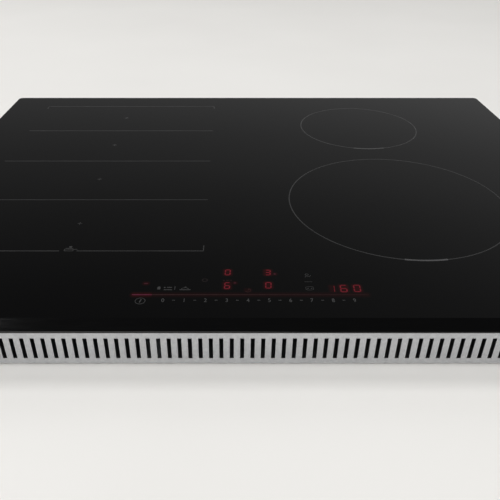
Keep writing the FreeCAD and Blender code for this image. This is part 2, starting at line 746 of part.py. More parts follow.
def tray_screw(start, direction):
    """A pan-head screw whose head sits on the wall at start, with its shank along direction."""
    shank = cylinder_along(start, direction, TRAY_SCREW_LENGTH, TRAY_SCREW_RADIUS)
    head = cylinder_along(start, direction * -1, TRAY_SCREW_HEAD, TRAY_SCREW_HEAD_RADIUS)
    drive_start = start - direction * (TRAY_SCREW_HEAD - TRAY_SCREW_DRIVE)
    drive = cylinder_along(drive_start, direction * -1, TRAY_SCREW_DRIVE + OVER,
                           TRAY_SCREW_DRIVE_RADIUS)
    return fuse([shank, head]).cut(drive)


def tray_screws():
    screws = []
    for side in (-1, 1):
        for y in SIDE_SCREWS_Y:
            screws.append(tray_screw(Vector(side * TRAY_HALF_X, y, SCREW_HEIGHT), X_AXIS * -side))
        for x in CROSS_SCREWS_X:
            screws.append(tray_screw(Vector(x, side * TRAY_HALF_Y, SCREW_HEIGHT), Y_AXIS * -side))
    return group(screws)


def rating_plate():
    """A blank plate under the tray floor."""
    return rounded_box(*RATING_PLATE, TRAY_BOTTOM - RATING_PLATE_THICKNESS, TRAY_BOTTOM,
                       RATING_PLATE_CORNER)


# ---- coils --------------------------------------------------------------------------------


def lead_places():
    """Where each pair of coil leads runs: start on the winding, upright run and Y."""
    places = [(FLEX_X - FLEX_STRAIGHT_HALF - FLEX_OUTER_RADIUS, FLEX_LEAD_X, y)
              for y in FLEX_CENTRES]
    places.append((FRONT_COIL[0] + FRONT_COIL[3], FRONT_LEAD_X, FRONT_COIL[1]))
    places.append((REAR_COIL[0] + REAR_COIL[3], REAR_LEAD_X, REAR_COIL[1]))
    return places


def coil_deck():
    """An aluminium plate with windows for the sensors and for each pair of leads."""
    plate = rounded_box(-DECK_HALF_X, DECK_HALF_X, DECK_FRONT, DECK_REAR, DECK_BOTTOM, DECK_TOP,
                        DECK_CORNER)
    z = (DECK_BOTTOM - OVER, DECK_TOP + OVER)
    holes = [cylinder(FLEX_X, y, *z, FLEX_SENSOR_WINDOW) for y in FLEX_CENTRES]
    holes += [cylinder(*coil[:2], *z, ROUND_SENSOR_WINDOW) for coil in (FRONT_COIL, REAR_COIL)]
    holes += [block(x, y, *LEAD_WINDOW, *z) for _, x, y in lead_places()]
    return plate.cut(holes)


def deck_posts():
    return group([cylinder(x, y, TRAY_FLOOR, DECK_BOTTOM, POST_RADIUS)
                  for x, y in INNER_POSTS + CORNER_POSTS + REAR_POSTS])


def oval_winding(y):
    """A flat oval coil: round the centre hole, turn beside turn on a thin web."""
    ring = stadium(FLEX_X, y, FLEX_STRAIGHT_HALF, FLEX_OUTER_RADIUS, WINDING_BOTTOM, WINDING_TOP)
    hole = stadium(FLEX_X, y, FLEX_STRAIGHT_HALF, FLEX_INNER_RADIUS,
                   WINDING_BOTTOM - OVER, WINDING_TOP + OVER)
    grooves = []
    turns = round((FLEX_OUTER_RADIUS - FLEX_INNER_RADIUS) / TURN_PITCH)
    for n in range(1, turns):
        radius = FLEX_INNER_RADIUS + n * TURN_PITCH
        z = (WINDING_BOTTOM + WINDING_WEB, WINDING_TOP + OVER)
        outer = stadium(FLEX_X, y, FLEX_STRAIGHT_HALF, radius, *z)
        inner = stadium(FLEX_X, y, FLEX_STRAIGHT_HALF, radius - TURN_GAP, *z)
        grooves.append(outer.cut(inner))
    return ring.cut([hole] + grooves)


def round_winding(coil):
    """A flat round coil, turn beside turn on a thin web."""
    x, y, inner, outer, _ = coil
    ring = tube(x, y, WINDING_BOTTOM, WINDING_TOP, inner, outer)
    turns = round((outer - inner) / TURN_PITCH)
    grooves = [tube(x, y, WINDING_BOTTOM + WINDING_WEB, WINDING_TOP + OVER,
                    inner + n * TURN_PITCH - TURN_GAP, inner + n * TURN_PITCH)
               for n in range(1, turns)]
    return ring.cut(grooves)


def flex_carrier(centres):
    """One plastic plate under two oval coils, with a hole at each coil's centre."""
    half_y = FLEX_OUTER_RADIUS + FLEX_CARRIER_MARGIN
    half_x = FLEX_STRAIGHT_HALF + half_y
    plate = rounded_box(FLEX_X - half_x, FLEX_X + half_x, centres[0] - half_y,
                        centres[1] + half_y, CARRIER_BOTTOM, CARRIER_TOP, FLEX_CARRIER_CORNER)
    holes = [cylinder(FLEX_X, y, CARRIER_BOTTOM - OVER, CARRIER_TOP + OVER,
                      SENSOR_RADIUS + SENSOR_CLEARANCE)
             for y in centres]
    return plate.cut(holes)


def round_carrier(coil):
    return tube(coil[0], coil[1], CARRIER_BOTTOM, CARRIER_TOP, SENSOR_RADIUS + SENSOR_CLEARANCE,
                coil[3] + ROUND_CARRIER_MARGIN)


def spokes(coil, inner, outer, width, z0, z1, angles):
    bars = []
    for angle in angles:
        bar = box(inner, outer, -width / 2, width / 2, z0, z1)
        bar.rotate(ORIGIN, UP, angle)
        bar.translate(Vector(coil[0], coil[1], 0))
        bars.append(bar)
    return bars


def ferrite_bars():
    """Bars across the oval coils, three on each side of the sensor, and spokes under the round."""
    bars = []
    for y in FLEX_CENTRES:
        for n in (-3, -2, -1, 1, 2, 3):
            bars.append(block(FLEX_X + n * FLEX_FERRITE_PITCH, y, FERRITE_WIDTH,
                              FLEX_FERRITE_LENGTH, FERRITE_BOTTOM, CARRIER_BOTTOM))
    for coil in (FRONT_COIL, REAR_COIL):
        _, _, inner, outer, count = coil
        angles = [n * 360 / count for n in range(count)]
        bars += spokes(coil, inner + FERRITE_INNER_GAP, outer - FERRITE_OUTER_GAP, FERRITE_WIDTH,
                       FERRITE_BOTTOM, CARRIER_BOTTOM, angles)
    return group(bars)


def leaf_spring(x, y, angle):
    """A bowed strip: its ends stand on the deck and its crown carries a coil carrier."""
    foot = SPRING_HALF - SPRING_FOOT
    ends = [Vector(x, 0, DECK_TOP) for x in (-SPRING_HALF, SPRING_HALF, foot, -foot)]
    crown = Vector(0, 0, CARRIER_BOTTOM)
    outer = Part.Arc(ends[0], crown, ends[1]).toShape()
    inner = Part.Arc(ends[2], crown - UP * SPRING_THICKNESS, ends[3]).toShape()
    outline = Part.Wire([outer, Part.makeLine(ends[1], ends[2]),
                         inner, Part.makeLine(ends[3], ends[0])])
    spring = Part.Face(outline).extrude(Y_AXIS * SPRING_WIDTH)
    spring.translate(Vector(0, -SPRING_WIDTH / 2, 0))
    spring.rotate(ORIGIN, UP, angle)
    spring.translate(Vector(x, y, 0))
    return spring


def coil_springs():
    """Two springs under each oval coil, and three between the ferrite spokes of each round one."""
    springs = []
    for y in FLEX_CENTRES:
        for offset in (-FLEX_SPRING_OFFSET, FLEX_SPRING_OFFSET):
            springs.append(leaf_spring(FLEX_X + offset, y, 90))
    for coil, first, steps in ((FRONT_COIL, 18.0, (0, 3, 7)), (REAR_COIL, 22.5, (0, 3, 6))):
        pitch = 360 / coil[4]
        radius = (coil[2] + coil[3]) / 2 + 2
        for step in steps:
            angle = first + step * pitch
            reach = Vector(math.cos(math.radians(angle)), math.sin(math.radians(angle)), 0) * radius
            springs.append(leaf_spring(coil[0] + reach.x, coil[1] + reach.y, angle))
    return group(springs)


def sensor_centres():
    return [(FLEX_X, y) for y in FLEX_CENTRES] + [FRONT_COIL[:2], REAR_COIL[:2]]


def mica_sheets():
    sheets = [stadium(FLEX_X, y, FLEX_STRAIGHT_HALF, FLEX_OUTER_RADIUS, MICA_BOTTOM, GLASS_BOTTOM)
              for y in FLEX_CENTRES]
    sheets += [cylinder(c[0], c[1], MICA_BOTTOM, GLASS_BOTTOM, c[3])
               for c in (FRONT_COIL, REAR_COIL)]
    holes = [cylinder(x, y, MICA_BOTTOM - OVER, GLASS_BOTTOM + OVER, MICA_HOLE)
             for x, y in sensor_centres()]
    return group([sheet.cut(hole) for sheet, hole in zip(sheets, holes)])


def temperature_sensors():
    sensors = []
    for x, y in sensor_centres():
        stem = cylinder(x, y, CARRIER_BOTTOM, GLASS_BOTTOM - GLASS_CLEARANCE, SENSOR_RADIUS)
        clip = cylinder(x, y, CARRIER_BOTTOM - SENSOR_CLIP, CARRIER_BOTTOM, SENSOR_CLIP_RADIUS)
        sensors.append(fuse([stem, clip]))
    return group(sensors)


def coil_lead(start_x, run_x, y):
    """A lead that leaves the winding level, bends down and drops to its terminal."""
    side = 1 if run_x > start_x else -1
    bend = LEAD_BEND
    bottom = BOARD_TOP + LEAD_TERMINAL_SIZE[2]
    corner = Vector(run_x - side * bend, y, LEAD_HEIGHT - bend)
    middle = corner + Vector(side * math.sqrt(0.5), 0, math.sqrt(0.5)) * bend
    level_end = Vector(run_x - side * bend, y, LEAD_HEIGHT)
    drop_start = Vector(run_x, y, LEAD_HEIGHT - bend)
    start = Vector(start_x, y, LEAD_HEIGHT)
    path = Part.Wire([Part.makeLine(start, level_end),
                      Part.Arc(level_end, middle, drop_start).toShape(),
                      Part.makeLine(drop_start, Vector(run_x, y, bottom))])
    profile = Part.Wire([Part.makeCircle(LEAD_RADIUS, start, X_AXIS * side)])
    return path.makePipeShell([profile], True, True)


def coil_leads():
    leads = []
    for start_x, run_x, y in lead_places():
        for spread in (-LEAD_SPREAD, LEAD_SPREAD):
            leads.append(coil_lead(start_x, run_x, y + spread))
    return group(leads)


# ---- power electronics --------------------------------------------------------------------


def board_outline(span, wing, z0, z1):
    """An L-shaped board: the main field and a wing beside the fan."""
    main = box(span[0], span[1], BOARD_FRONT, BOARD_REAR, z0, z1)
    side = box(wing[0], wing[1], BOARD_REAR - OVER, WING_REAR, z0, z1)
    return fuse([main, side])


def board_tray(span, wing):
    """A plastic frame that keeps a board off the tray floor."""
    rim = BOARD_RIM
    plate = board_outline(span, wing, TRAY_FLOOR, BOARD_BOTTOM)
    middle = (span[0] + span[1]) / 2
    main_y = (BOARD_FRONT + rim, BOARD_REAR - rim)
    z = (TRAY_FLOOR - OVER, BOARD_BOTTOM + OVER)
    windows = [box(span[0] + rim, middle - rim / 2, *main_y, *z),
               box(middle + rim / 2, span[1] - rim, *main_y, *z),
               box(wing[0] + rim, wing[1] - rim, BOARD_REAR + rim, WING_REAR - rim, *z)]
    return plate.cut(windows)


def board_trays():
    x0, x1, y0, y1 = FILTER_BOARD
    rim = BOARD_RIM
    small = box(x0, x1, y0, y1, TRAY_FLOOR, BOARD_BOTTOM)
    window = box(x0 + rim, x1 - rim, y0 + rim, y1 - rim, TRAY_FLOOR - OVER, BOARD_BOTTOM + OVER)
    return group([board_tray(LEFT_BOARD, LEFT_WING), board_tray(RIGHT_BOARD, RIGHT_WING),
                  small.cut(window)])


def power_board(span, wing):
    return board_outline(span, wing, BOARD_BOTTOM, BOARD_TOP)


def heat_sink(x):
    """A base plate with upright fins along the way the air blows."""
    base = block(x, 0, 2 * SINK_HALF_X, 2 * SINK_HALF_Y, SINK_BOTTOM, FIN_BOTTOM)
    pitch = (2 * SINK_HALF_X - FIN_THICKNESS) / (FIN_COUNT - 1)
    first = x - SINK_HALF_X + FIN_THICKNESS / 2
    fins = [block(first + n * pitch, 0, FIN_THICKNESS, 2 * SINK_HALF_Y, FIN_BOTTOM, FIN_TOP)
            for n in range(FIN_COUNT)]
    return fuse([base] + fins)


def standing(x, y, width, depth, height):
    """A box-shaped component on a board."""
    return block(x, y, width, depth, BOARD_TOP, BOARD_TOP + height)


def toroid(x, y, radius, height):
    """A wound ring core lying on a board."""
    return tube(x, y, BOARD_TOP, BOARD_TOP + height, radius * CORE_HOLE_RATIO, radius)


def can(x, y, radius, height):
    """A round component that stands on a board."""
    return cylinder(x, y, BOARD_TOP, BOARD_TOP + height, radius)


def power_components(x, lead_spots):
    """Transistors under the heat sink, and the tall parts on both sides of it."""
    parts = []
    for n in range(TRANSISTOR_COUNT):
        parts.append(standing(x, TRANSISTOR_FIRST_Y + n * TRANSISTOR_PITCH, *TRANSISTOR_SIZE,
                              SINK_BOTTOM - BOARD_TOP))
    for n in range(RESONANT_COUNT):
        y = RESONANT_FIRST_Y + n * RESONANT_PITCH
        parts.append(standing(x + CAPACITOR_X, y, *CAPACITOR_SIZE))
        parts.append(toroid(x + CHOKE_X, y, *CHOKE_SIZE))
    for y in RESERVOIR_Y:
        parts.append(can(x + RESERVOIR_X, y, *RESERVOIR_SIZE))
    parts.append(standing(x + TRANSFORMER_X, 0, *TRANSFORMER_SIZE))
    for y in RELAY_Y:
        parts += [standing(x + offset, y, *RELAY_SIZE) for offset in RELAY_X]
    parts += [standing(*spot, *LEAD_TERMINAL_SIZE) for spot in lead_spots]
    return group(parts)


def filter_board():
    x0, x1, y0, y1 = FILTER_BOARD
    return box(x0, x1, y0, y1, BOARD_BOTTOM, BOARD_TOP)


def filter_components():
    """The mains filter: two chokes, two capacitors, a fuse holder and three small cans."""
    x0, x1, y0, _ = FILTER_BOARD
    middle = (x0 + x1) / 2
    parts = [toroid(middle + x, y0 + y, *size) for x, y, *size in FILTER_CHOKES]
    parts += [standing(middle + x, y0 + y, *size) for x, y, *size in FILTER_CAPACITORS + [FILTER_FUSE]]
    parts += [can(middle + x, y0 + y, *size) for x, y, *size in FILTER_CANS]
    return group(parts)


# ---- cooling fans -------------------------------------------------------------------------


def fan_housing(x):
    """A square blower case: inlet in its floor, outlet towards the heat sink, and a fixed pin."""
    case = rounded_box(x - FAN_HALF, x + FAN_HALF, FAN_Y - FAN_HALF, FAN_Y + FAN_HALF,
                       FAN_BOTTOM, FAN_TOP, FAN_CORNER)
    inside = FAN_HALF - FAN_WALL
    ceiling = FAN_TOP - FAN_WALL
    chamber = box(x - inside, x + inside, FAN_Y - FAN_HALF - OVER, FAN_Y + inside,
                  FAN_BOTTOM + FAN_WALL, ceiling)
    inlet = cylinder(x, FAN_Y, FAN_BOTTOM - OVER, FAN_BOTTOM + FAN_WALL + OVER, FAN_INLET)
    motor = cylinder(x, FAN_Y, IMPELLER_TOP + MOTOR_GAP, ceiling + FAN_WALL / 2, MOTOR_RADIUS)
    pin = cylinder(x, FAN_Y, IMPELLER_BOTTOM + FAN_WALL, ceiling + FAN_WALL / 2, FAN_PIN)
    return fuse([case.cut([chamber, inlet]), motor, pin])


def fan_impeller(x):
    """A hub, a back plate and a ring of swept blades on a bore that runs on the pin."""
    hub = cylinder(x, FAN_Y, IMPELLER_BOTTOM, IMPELLER_TOP, HUB_RADIUS)
    plate_bottom = IMPELLER_TOP - HUB_PLATE
    plate = cylinder(x, FAN_Y, plate_bottom, IMPELLER_TOP, IMPELLER_RADIUS)
    blades = []
    for n in range(BLADE_COUNT):
        blade = box(0, BLADE_LENGTH, -BLADE_THICKNESS / 2, BLADE_THICKNESS / 2,
                    IMPELLER_BOTTOM, plate_bottom + HUB_PLATE / 2)
        blade.rotate(ORIGIN, UP, BLADE_SWEEP)
        blade.translate(Vector(HUB_RADIUS - OVER, 0, 0))
        blade.rotate(ORIGIN, UP, n * 360 / BLADE_COUNT)
        blade.translate(Vector(x, FAN_Y, 0))
        blades.append(blade)
    bore = cylinder(x, FAN_Y, IMPELLER_BOTTOM - OVER, IMPELLER_TOP + OVER, FAN_BORE)
    return fuse([hub, plate] + blades).cut(bore)


# ---- mains connection ---------------------------------------------------------------------


def terminal_box():
    """A plastic hood over the floor opening, with room for the cable at the back."""
    hood = box(HOOD_LEFT, HOOD_RIGHT, HOOD_FRONT, HOOD_REAR, TRAY_FLOOR, HOOD_TOP)
    room = box(HOOD_LEFT + HOOD_WALL, HOOD_RIGHT - HOOD_WALL, HOOD_FRONT + HOOD_WALL,
               HOOD_REAR - HOOD_WALL, TRAY_FLOOR - OVER, HOOD_CEILING)
    port = cylinder_along(Vector(INLET_X, HOOD_REAR - HOOD_WALL - OVER, INLET_Z), Y_AXIS,
                          HOOD_WALL + 2 * OVER, BUSHING_FLANGE + PORT_CLEARANCE)
    left, right, low, high = HOOD_NOTCH
    notch = box(left, right, HOOD_FRONT - OVER, HOOD_FRONT + HOOD_WALL + OVER, low, high)
    return hood.cut([room, port, notch])


def terminal_places():
    first = INLET_X - TERMINAL_PITCH * (TERMINAL_COUNT - 1) / 2
    return [first + n * TERMINAL_PITCH for n in range(TERMINAL_COUNT)]


def terminal_block():
    """A plastic block under the hood's ceiling, with a well for each screw."""
    body = block(INLET_X, TERMINAL_Y, *TERMINAL_BLOCK, TERMINAL_BLOCK_BOTTOM, HOOD_CEILING)
    wells = [cylinder(x, TERMINAL_Y, TERMINAL_BLOCK_BOTTOM - OVER, TERMINAL_SCREW_TOP,
                      TERMINAL_WELL)
             for x in terminal_places()]
    return body.cut(wells)


def terminal_screws():
    screws = []
    for x in terminal_places():
        head = cylinder(x, TERMINAL_Y, TERMINAL_SCREW_BOTTOM, TERMINAL_SCREW_TOP,
                        TERMINAL_SCREW_RADIUS)
        slot = block(x, TERMINAL_Y, 2 * TERMINAL_WELL, TERMINAL_SLOT,
                     TERMINAL_SCREW_BOTTOM - OVER, TERMINAL_SCREW_BOTTOM + OVER)
        screws.append(head.cut(slot))
    return group(screws)


def terminal_cover():
    """A hinged lid in the tray floor, with a rolled front edge, two ribs and two pivot pins."""
    plate = box(COVER_LEFT, COVER_RIGHT, COVER_HINGE_Y, COVER_REAR,
                TRAY_BOTTOM, TRAY_BOTTOM + COVER_PLATE)
    length = COVER_RIGHT - COVER_LEFT
    knuckle = cylinder_along(Vector(COVER_LEFT, COVER_HINGE_Y, COVER_HINGE_Z), X_AXIS, length,
                             COVER_KNUCKLE)
    pins = cylinder_along(Vector(COVER_LEFT - COVER_PIN_REACH, COVER_HINGE_Y, COVER_HINGE_Z),
                          X_AXIS, length + 2 * COVER_PIN_REACH, COVER_PIN)
    ribs = [block(x, (COVER_HINGE_Y + COVER_REAR) / 2, COVER_RIB,
                  COVER_REAR - COVER_HINGE_Y - 2 * COVER_RIB,
                  TRAY_BOTTOM + COVER_PLATE / 2, TRAY_FLOOR + COVER_RIB_RISE)
            for x in (COVER_LEFT + COVER_RIB_INSET, COVER_RIGHT - COVER_RIB_INSET)]
    return fuse([plate, knuckle, pins] + ribs)


def cable_bushing():
    """A rubber bush in the rear wall that the mains cable passes through."""
    outside = INNER_Y + SHEET
    start = INNER_Y - BUSHING_INNER_FLANGE
    inner_flange = cylinder_along(Vector(INLET_X, start, INLET_Z), Y_AXIS, BUSHING_INNER_FLANGE,
                                  BUSHING_FLANGE)
    neck = cylinder_along(Vector(INLET_X, INNER_Y, INLET_Z), Y_AXIS, SHEET, BUSHING_NECK)
    outer_flange = cylinder_along(Vector(INLET_X, outside, INLET_Z), Y_AXIS,
                                  BUSHING_OUTER_FLANGE, BUSHING_FLANGE)
    length = outside + BUSHING_OUTER_FLANGE - start
    bore = cylinder_along(Vector(INLET_X, start - OVER, INLET_Z), Y_AXIS, length + 2 * OVER,
                          INLET_RADIUS)
    return fuse([inner_flange, neck, outer_flange]).cut(bore)


def cable_clamp():
    """A bar held by two screws, which grips the cable against the hood."""
    bar = rounded_box(INLET_X - STRAP_HALF_LENGTH, INLET_X + STRAP_HALF_LENGTH,
                      STRAP_Y - STRAP_HALF_WIDTH, STRAP_Y + STRAP_HALF_WIDTH,
                      STRAP_BOTTOM, STRAP_TOP, STRAP_CORNER)
    saddle = cylinder_along(Vector(INLET_X, STRAP_Y - STRAP_HALF_WIDTH - OVER, INLET_Z), Y_AXIS,
                            2 * (STRAP_HALF_WIDTH + OVER), INLET_RADIUS)
    screws = []
    holes = []
    for x in (INLET_X - STRAP_SCREW_X, INLET_X + STRAP_SCREW_X):
        holes.append(cylinder(x, STRAP_Y, STRAP_BOTTOM - OVER, STRAP_TOP + OVER,
                              STRAP_SCREW_HOLE))
        shank = cylinder(x, STRAP_Y, STRAP_BOTTOM, HOOD_CEILING, STRAP_SCREW_RADIUS)
        head = cylinder(x, STRAP_Y, STRAP_HEAD_BOTTOM, STRAP_BOTTOM, STRAP_HEAD_RADIUS)
        screws.append(fuse([shank, head]))
    return group([bar.cut(holes + [saddle])] + screws)


# ---- control unit -------------------------------------------------------------------------


def control_carrier():
    """An open plastic tray pressed up under the glass behind the front rail."""
    case = box(CONTROL_LEFT, CONTROL_RIGHT, CONTROL_FRONT, CONTROL_REAR, DECK_BOTTOM, CONTROL_TOP)
    inside = box(CONTROL_LEFT + CONTROL_WALL, CONTROL_RIGHT - CONTROL_WALL,
                 CONTROL_FRONT + CONTROL_WALL, CONTROL_REAR - CONTROL_WALL,
                 DECK_TOP, CONTROL_TOP + OVER)
    ribbon_slot = box(RIBBON_X - RIBBON_ROOM, RIBBON_X + RIBBON_WIDTH + RIBBON_ROOM,
                      RIBBON_FRONT_Y - RIBBON_ROOM, RIBBON_FRONT_Y + RIBBON_ROOM,
                      DECK_BOTTOM - OVER, DECK_TOP + OVER)
    pillars = [cylinder(x, y, (DECK_BOTTOM + DECK_TOP) / 2, CONTROL_BOARD_BOTTOM, PILLAR_RADIUS)
               for x, y in PILLARS]
    return fuse([case.cut([inside, ribbon_slot])] + pillars)


def control_board():
    edge = CONTROL_BOARD_GAP + CONTROL_WALL
    return box(CONTROL_LEFT + edge, CONTROL_RIGHT - edge, CONTROL_FRONT + edge,
               CONTROL_REAR - edge, CONTROL_BOARD_BOTTOM, CONTROL_BOARD_TOP)


def display_modules():
    """The LED digit blocks and the light bar of the slider."""
    middle = (SLIDER_LEFT + SLIDER_RIGHT) / 2
    z = (CONTROL_BOARD_TOP, DISPLAY_TOP)
    return group([
        block(LEFT_DISPLAY_X, DISPLAY_Y, *DISPLAY_SIZE, *z),
        block(RIGHT_DISPLAY_X, DISPLAY_Y, *DISPLAY_SIZE, *z),
        block(*TIMER, *TIMER_SIZE, *z),
        block(middle, SLIDER_Y, SLIDER_RIGHT - SLIDER_LEFT, SLIDER_LIGHT_WIDTH, *z),
    ])


def touch_springs():
    """Contact springs between the board and the glass, one below each key."""
    spots = [(DIGIT_FIRST_X + n * DIGIT_PITCH, DIGIT_Y) for n in range(10)]
    spots.append(POWER_KEY)
    spots += [(KEY_COLUMN_X, y) for y in KEY_COLUMN_Y]
    spots += [(x, KEY_ROW_Y) for x in (BLOCK_KEY_X, LIST_KEY_X, DISH_KEY_X)]
    return group([tube(x, y, CONTROL_BOARD_TOP, GLASS_BOTTOM - GLASS_CLEARANCE, *TOUCH_SPRING)
                  for x, y in spots])


def ribbon_cable():
    """A flat cable from the control board down to the left power board."""
    half = RIBBON_THICKNESS / 2
    lean = 0.8 * half
    front = [Vector(RIBBON_X, RIBBON_FRONT_Y - half, CONTROL_BOARD_BOTTOM),
             Vector(RIBBON_X, RIBBON_FRONT_Y - half, RIBBON_BEND_Z - lean),
             Vector(RIBBON_X, RIBBON_REAR_Y - half, RIBBON_LOW_Z - lean),
             Vector(RIBBON_X, RIBBON_REAR_Y - half, BOARD_TOP)]
    rear = [Vector(RIBBON_X, RIBBON_REAR_Y + half, BOARD_TOP),
            Vector(RIBBON_X, RIBBON_REAR_Y + half, RIBBON_LOW_Z + lean),
            Vector(RIBBON_X, RIBBON_FRONT_Y + half, RIBBON_BEND_Z + lean),
            Vector(RIBBON_X, RIBBON_FRONT_Y + half, CONTROL_BOARD_BOTTOM)]
    return prism(front + rear, X_AXIS * RIBBON_WIDTH)


# ---- worktop clamps -----------------------------------------------------------------------
# Each clamp is drawn on the right wall. The left ones are the same clamp turned half a turn.


def clamp_bracket(y):
    plate = box(TRAY_HALF_X, TRAY_HALF_X + SHEET, y - CLAMP_HALF_WIDTH, y + CLAMP_HALF_WIDTH,
                EAR_BOTTOM, EAR_TOP)
    ears = [box(TRAY_HALF_X, CLAMP_REACH, y - EAR_HALF_WIDTH, y + EAR_HALF_WIDTH, z0, z0 + SHEET)
            for z0 in (EAR_BOTTOM, EAR_TOP - SHEET)]
    hole = cylinder(CLAMP_X, y, EAR_BOTTOM - OVER, EAR_TOP + OVER, CLAMP_SCREW_HOLE)
    return fuse([plate] + ears).cut(hole)


def clamp_screw(y):
    """A screw with its cross-slotted head below, held in the bracket by a ring at its top."""
    head_top = EAR_BOTTOM - CLAMP_HEAD_GAP
    ring_bottom = EAR_TOP + CLAMP_RING_GAP
    shank = cylinder(CLAMP_X, y, CLAMP_HEAD_BOTTOM, EAR_TOP + CLAMP_SCREW_END,
                     CLAMP_SCREW_RADIUS)
    head = cylinder(CLAMP_X, y, CLAMP_HEAD_BOTTOM, head_top, CLAMP_HEAD_RADIUS)
    ring = cylinder(CLAMP_X, y, ring_bottom, ring_bottom + SHEET, CLAMP_RING_RADIUS)
    slot_z = (CLAMP_HEAD_BOTTOM - OVER, CLAMP_HEAD_BOTTOM + CLAMP_SLOT_DEPTH)
    slots = [block(CLAMP_X, y, *CLAMP_SLOT, *slot_z),
             block(CLAMP_X, y, *reversed(CLAMP_SLOT), *slot_z)]
    return fuse([shank, head, ring]).cut(slots)


def clamp_nut(y):
    """A flanged nut that climbs the screw, with a sleeve for the claw and a rim above it."""
    flange = cylinder(CLAMP_X, y, NUT_BOTTOM, NUT_FLANGE_TOP, NUT_RADIUS)
    sleeve = cylinder(CLAMP_X, y, NUT_BOTTOM, NUT_TOP, SLEEVE_RADIUS)
    rim = cylinder(CLAMP_X, y, NUT_SLEEVE_TOP, NUT_TOP, NUT_RIM_RADIUS)
    bore = cylinder(CLAMP_X, y, NUT_BOTTOM - OVER, NUT_TOP + OVER, CLAMP_SCREW_HOLE)
    return fuse([flange, sleeve, rim]).cut(bore)


def clamp_claw(y):
    """A finger parked along the wall, with an upturned tooth at its tip."""
    x = (CLAMP_X - CLAW_HALF_WIDTH, CLAMP_X + CLAW_HALF_WIDTH)
    tip = y - CLAW_LENGTH
    eye = cylinder(CLAMP_X, y, CLAW_BOTTOM, CLAW_TOP, CLAW_EYE)
    finger = box(*x, tip, y, CLAW_BOTTOM, CLAW_TOP)
    tooth = box(*x, tip, tip + CLAW_TOOTH, CLAW_BOTTOM, CLAW_TOOTH_TOP)
    hole = cylinder(CLAMP_X, y, CLAW_BOTTOM - OVER, CLAW_TOP + OVER, CLAW_HOLE)
    return fuse([eye, finger, tooth]).cut(hole)


def clamp_nodes():
    """The three moving pieces of each clamp, by node name."""
    corners = {"right_rear": (CLAMP_Y, 0), "right_front": (-CLAMP_Y, 0),
               "left_front": (CLAMP_Y, 180), "left_rear": (-CLAMP_Y, 180)}
    nodes = {}
    for corner, (y, turn) in corners.items():
        nodes["clamp_screw_" + corner] = turned(clamp_screw(y), turn)
        nodes["clamp_nut_" + corner] = turned(clamp_nut(y), turn)
        nodes["clamp_claw_" + corner] = turned(clamp_claw(y), turn)
    return nodes


def clamp_brackets():
    right = [clamp_bracket(y) for y in (-CLAMP_Y, CLAMP_Y)]
    return group(right + [turned(bracket, 180) for bracket in right])


# ---- all nodes ----------------------------------------------------------------------------


def all_nodes():
    left_spots = [(x, y) for _, x, y in lead_places()[:FLEX_COUNT]]
    right_spots = [(x, y) for _, x, y in lead_places()[FLEX_COUNT:]]
    nodes = {
        "glass_plate": glass_plate(),
        "zone_print": zone_print(),
        "control_print": control_print(),
        "seal_gasket": seal_gasket(),
        "bonding_silicone": bonding_silicone(),
        "side_rails": side_rails(),
        "cross_rails": group([front_rail(), rear_rail()]),
        "bottom_tray": bottom_tray(),
        "tray_screws": tray_screws(),
        "rating_plate": rating_plate(),
        "coil_deck": coil_deck(),
        "deck_posts": deck_posts(),
        "flex_windings": group([oval_winding(y) for y in FLEX_CENTRES]),
        "front_winding": round_winding(FRONT_COIL),
        "rear_winding": round_winding(REAR_COIL),
        "flex_carriers": group([flex_carrier(FLEX_CENTRES[:2]), flex_carrier(FLEX_CENTRES[2:])]),
        "round_carriers": group([round_carrier(FRONT_COIL), round_carrier(REAR_COIL)]),
        "ferrite_bars": ferrite_bars(),
        "coil_springs": coil_springs(),
        "mica_sheets": mica_sheets(),
        "temperature_sensors": temperature_sensors(),
        "coil_leads": coil_leads(),
        "board_trays": board_trays(),
        "power_board_left": power_board(LEFT_BOARD, LEFT_WING),
        "power_board_right": power_board(RIGHT_BOARD, RIGHT_WING),
        "power_components_left": power_components(LEFT_COLUMN_X, left_spots),
        "power_components_right": power_components(RIGHT_COLUMN_X, right_spots),
        "heat_sink_left": heat_sink(LEFT_COLUMN_X),
        "heat_sink_right": heat_sink(RIGHT_COLUMN_X),
        "fan_housing_left": fan_housing(LEFT_COLUMN_X),
        "fan_housing_right": fan_housing(RIGHT_COLUMN_X),
        "fan_impeller_left": fan_impeller(LEFT_COLUMN_X),
        "fan_impeller_right": fan_impeller(RIGHT_COLUMN_X),
        "filter_board": filter_board(),
        "filter_components": filter_components(),
        "terminal_box": terminal_box(),
        "terminal_block": terminal_block(),
        "terminal_screws": terminal_screws(),
        "terminal_cover": terminal_cover(),
        "cable_bushing": cable_bushing(),
        "cable_clamp": cable_clamp(),
        "control_carrier": control_carrier(),
        "control_board": control_board(),
        "display_modules": display_modules(),
        "touch_springs": touch_springs(),
        "ribbon_cable": ribbon_cable(),
        "clamp_brackets": clamp_brackets(),
    }
    nodes.update(clamp_nodes())
    return nodes


os.makedirs("parts", exist_ok=True)
for name, shape in all_nodes().items():
    shape.exportStep("parts/" + name + ".step")
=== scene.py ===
import math
import random

import bmesh
import bpy
from mathutils import Matrix, Vector


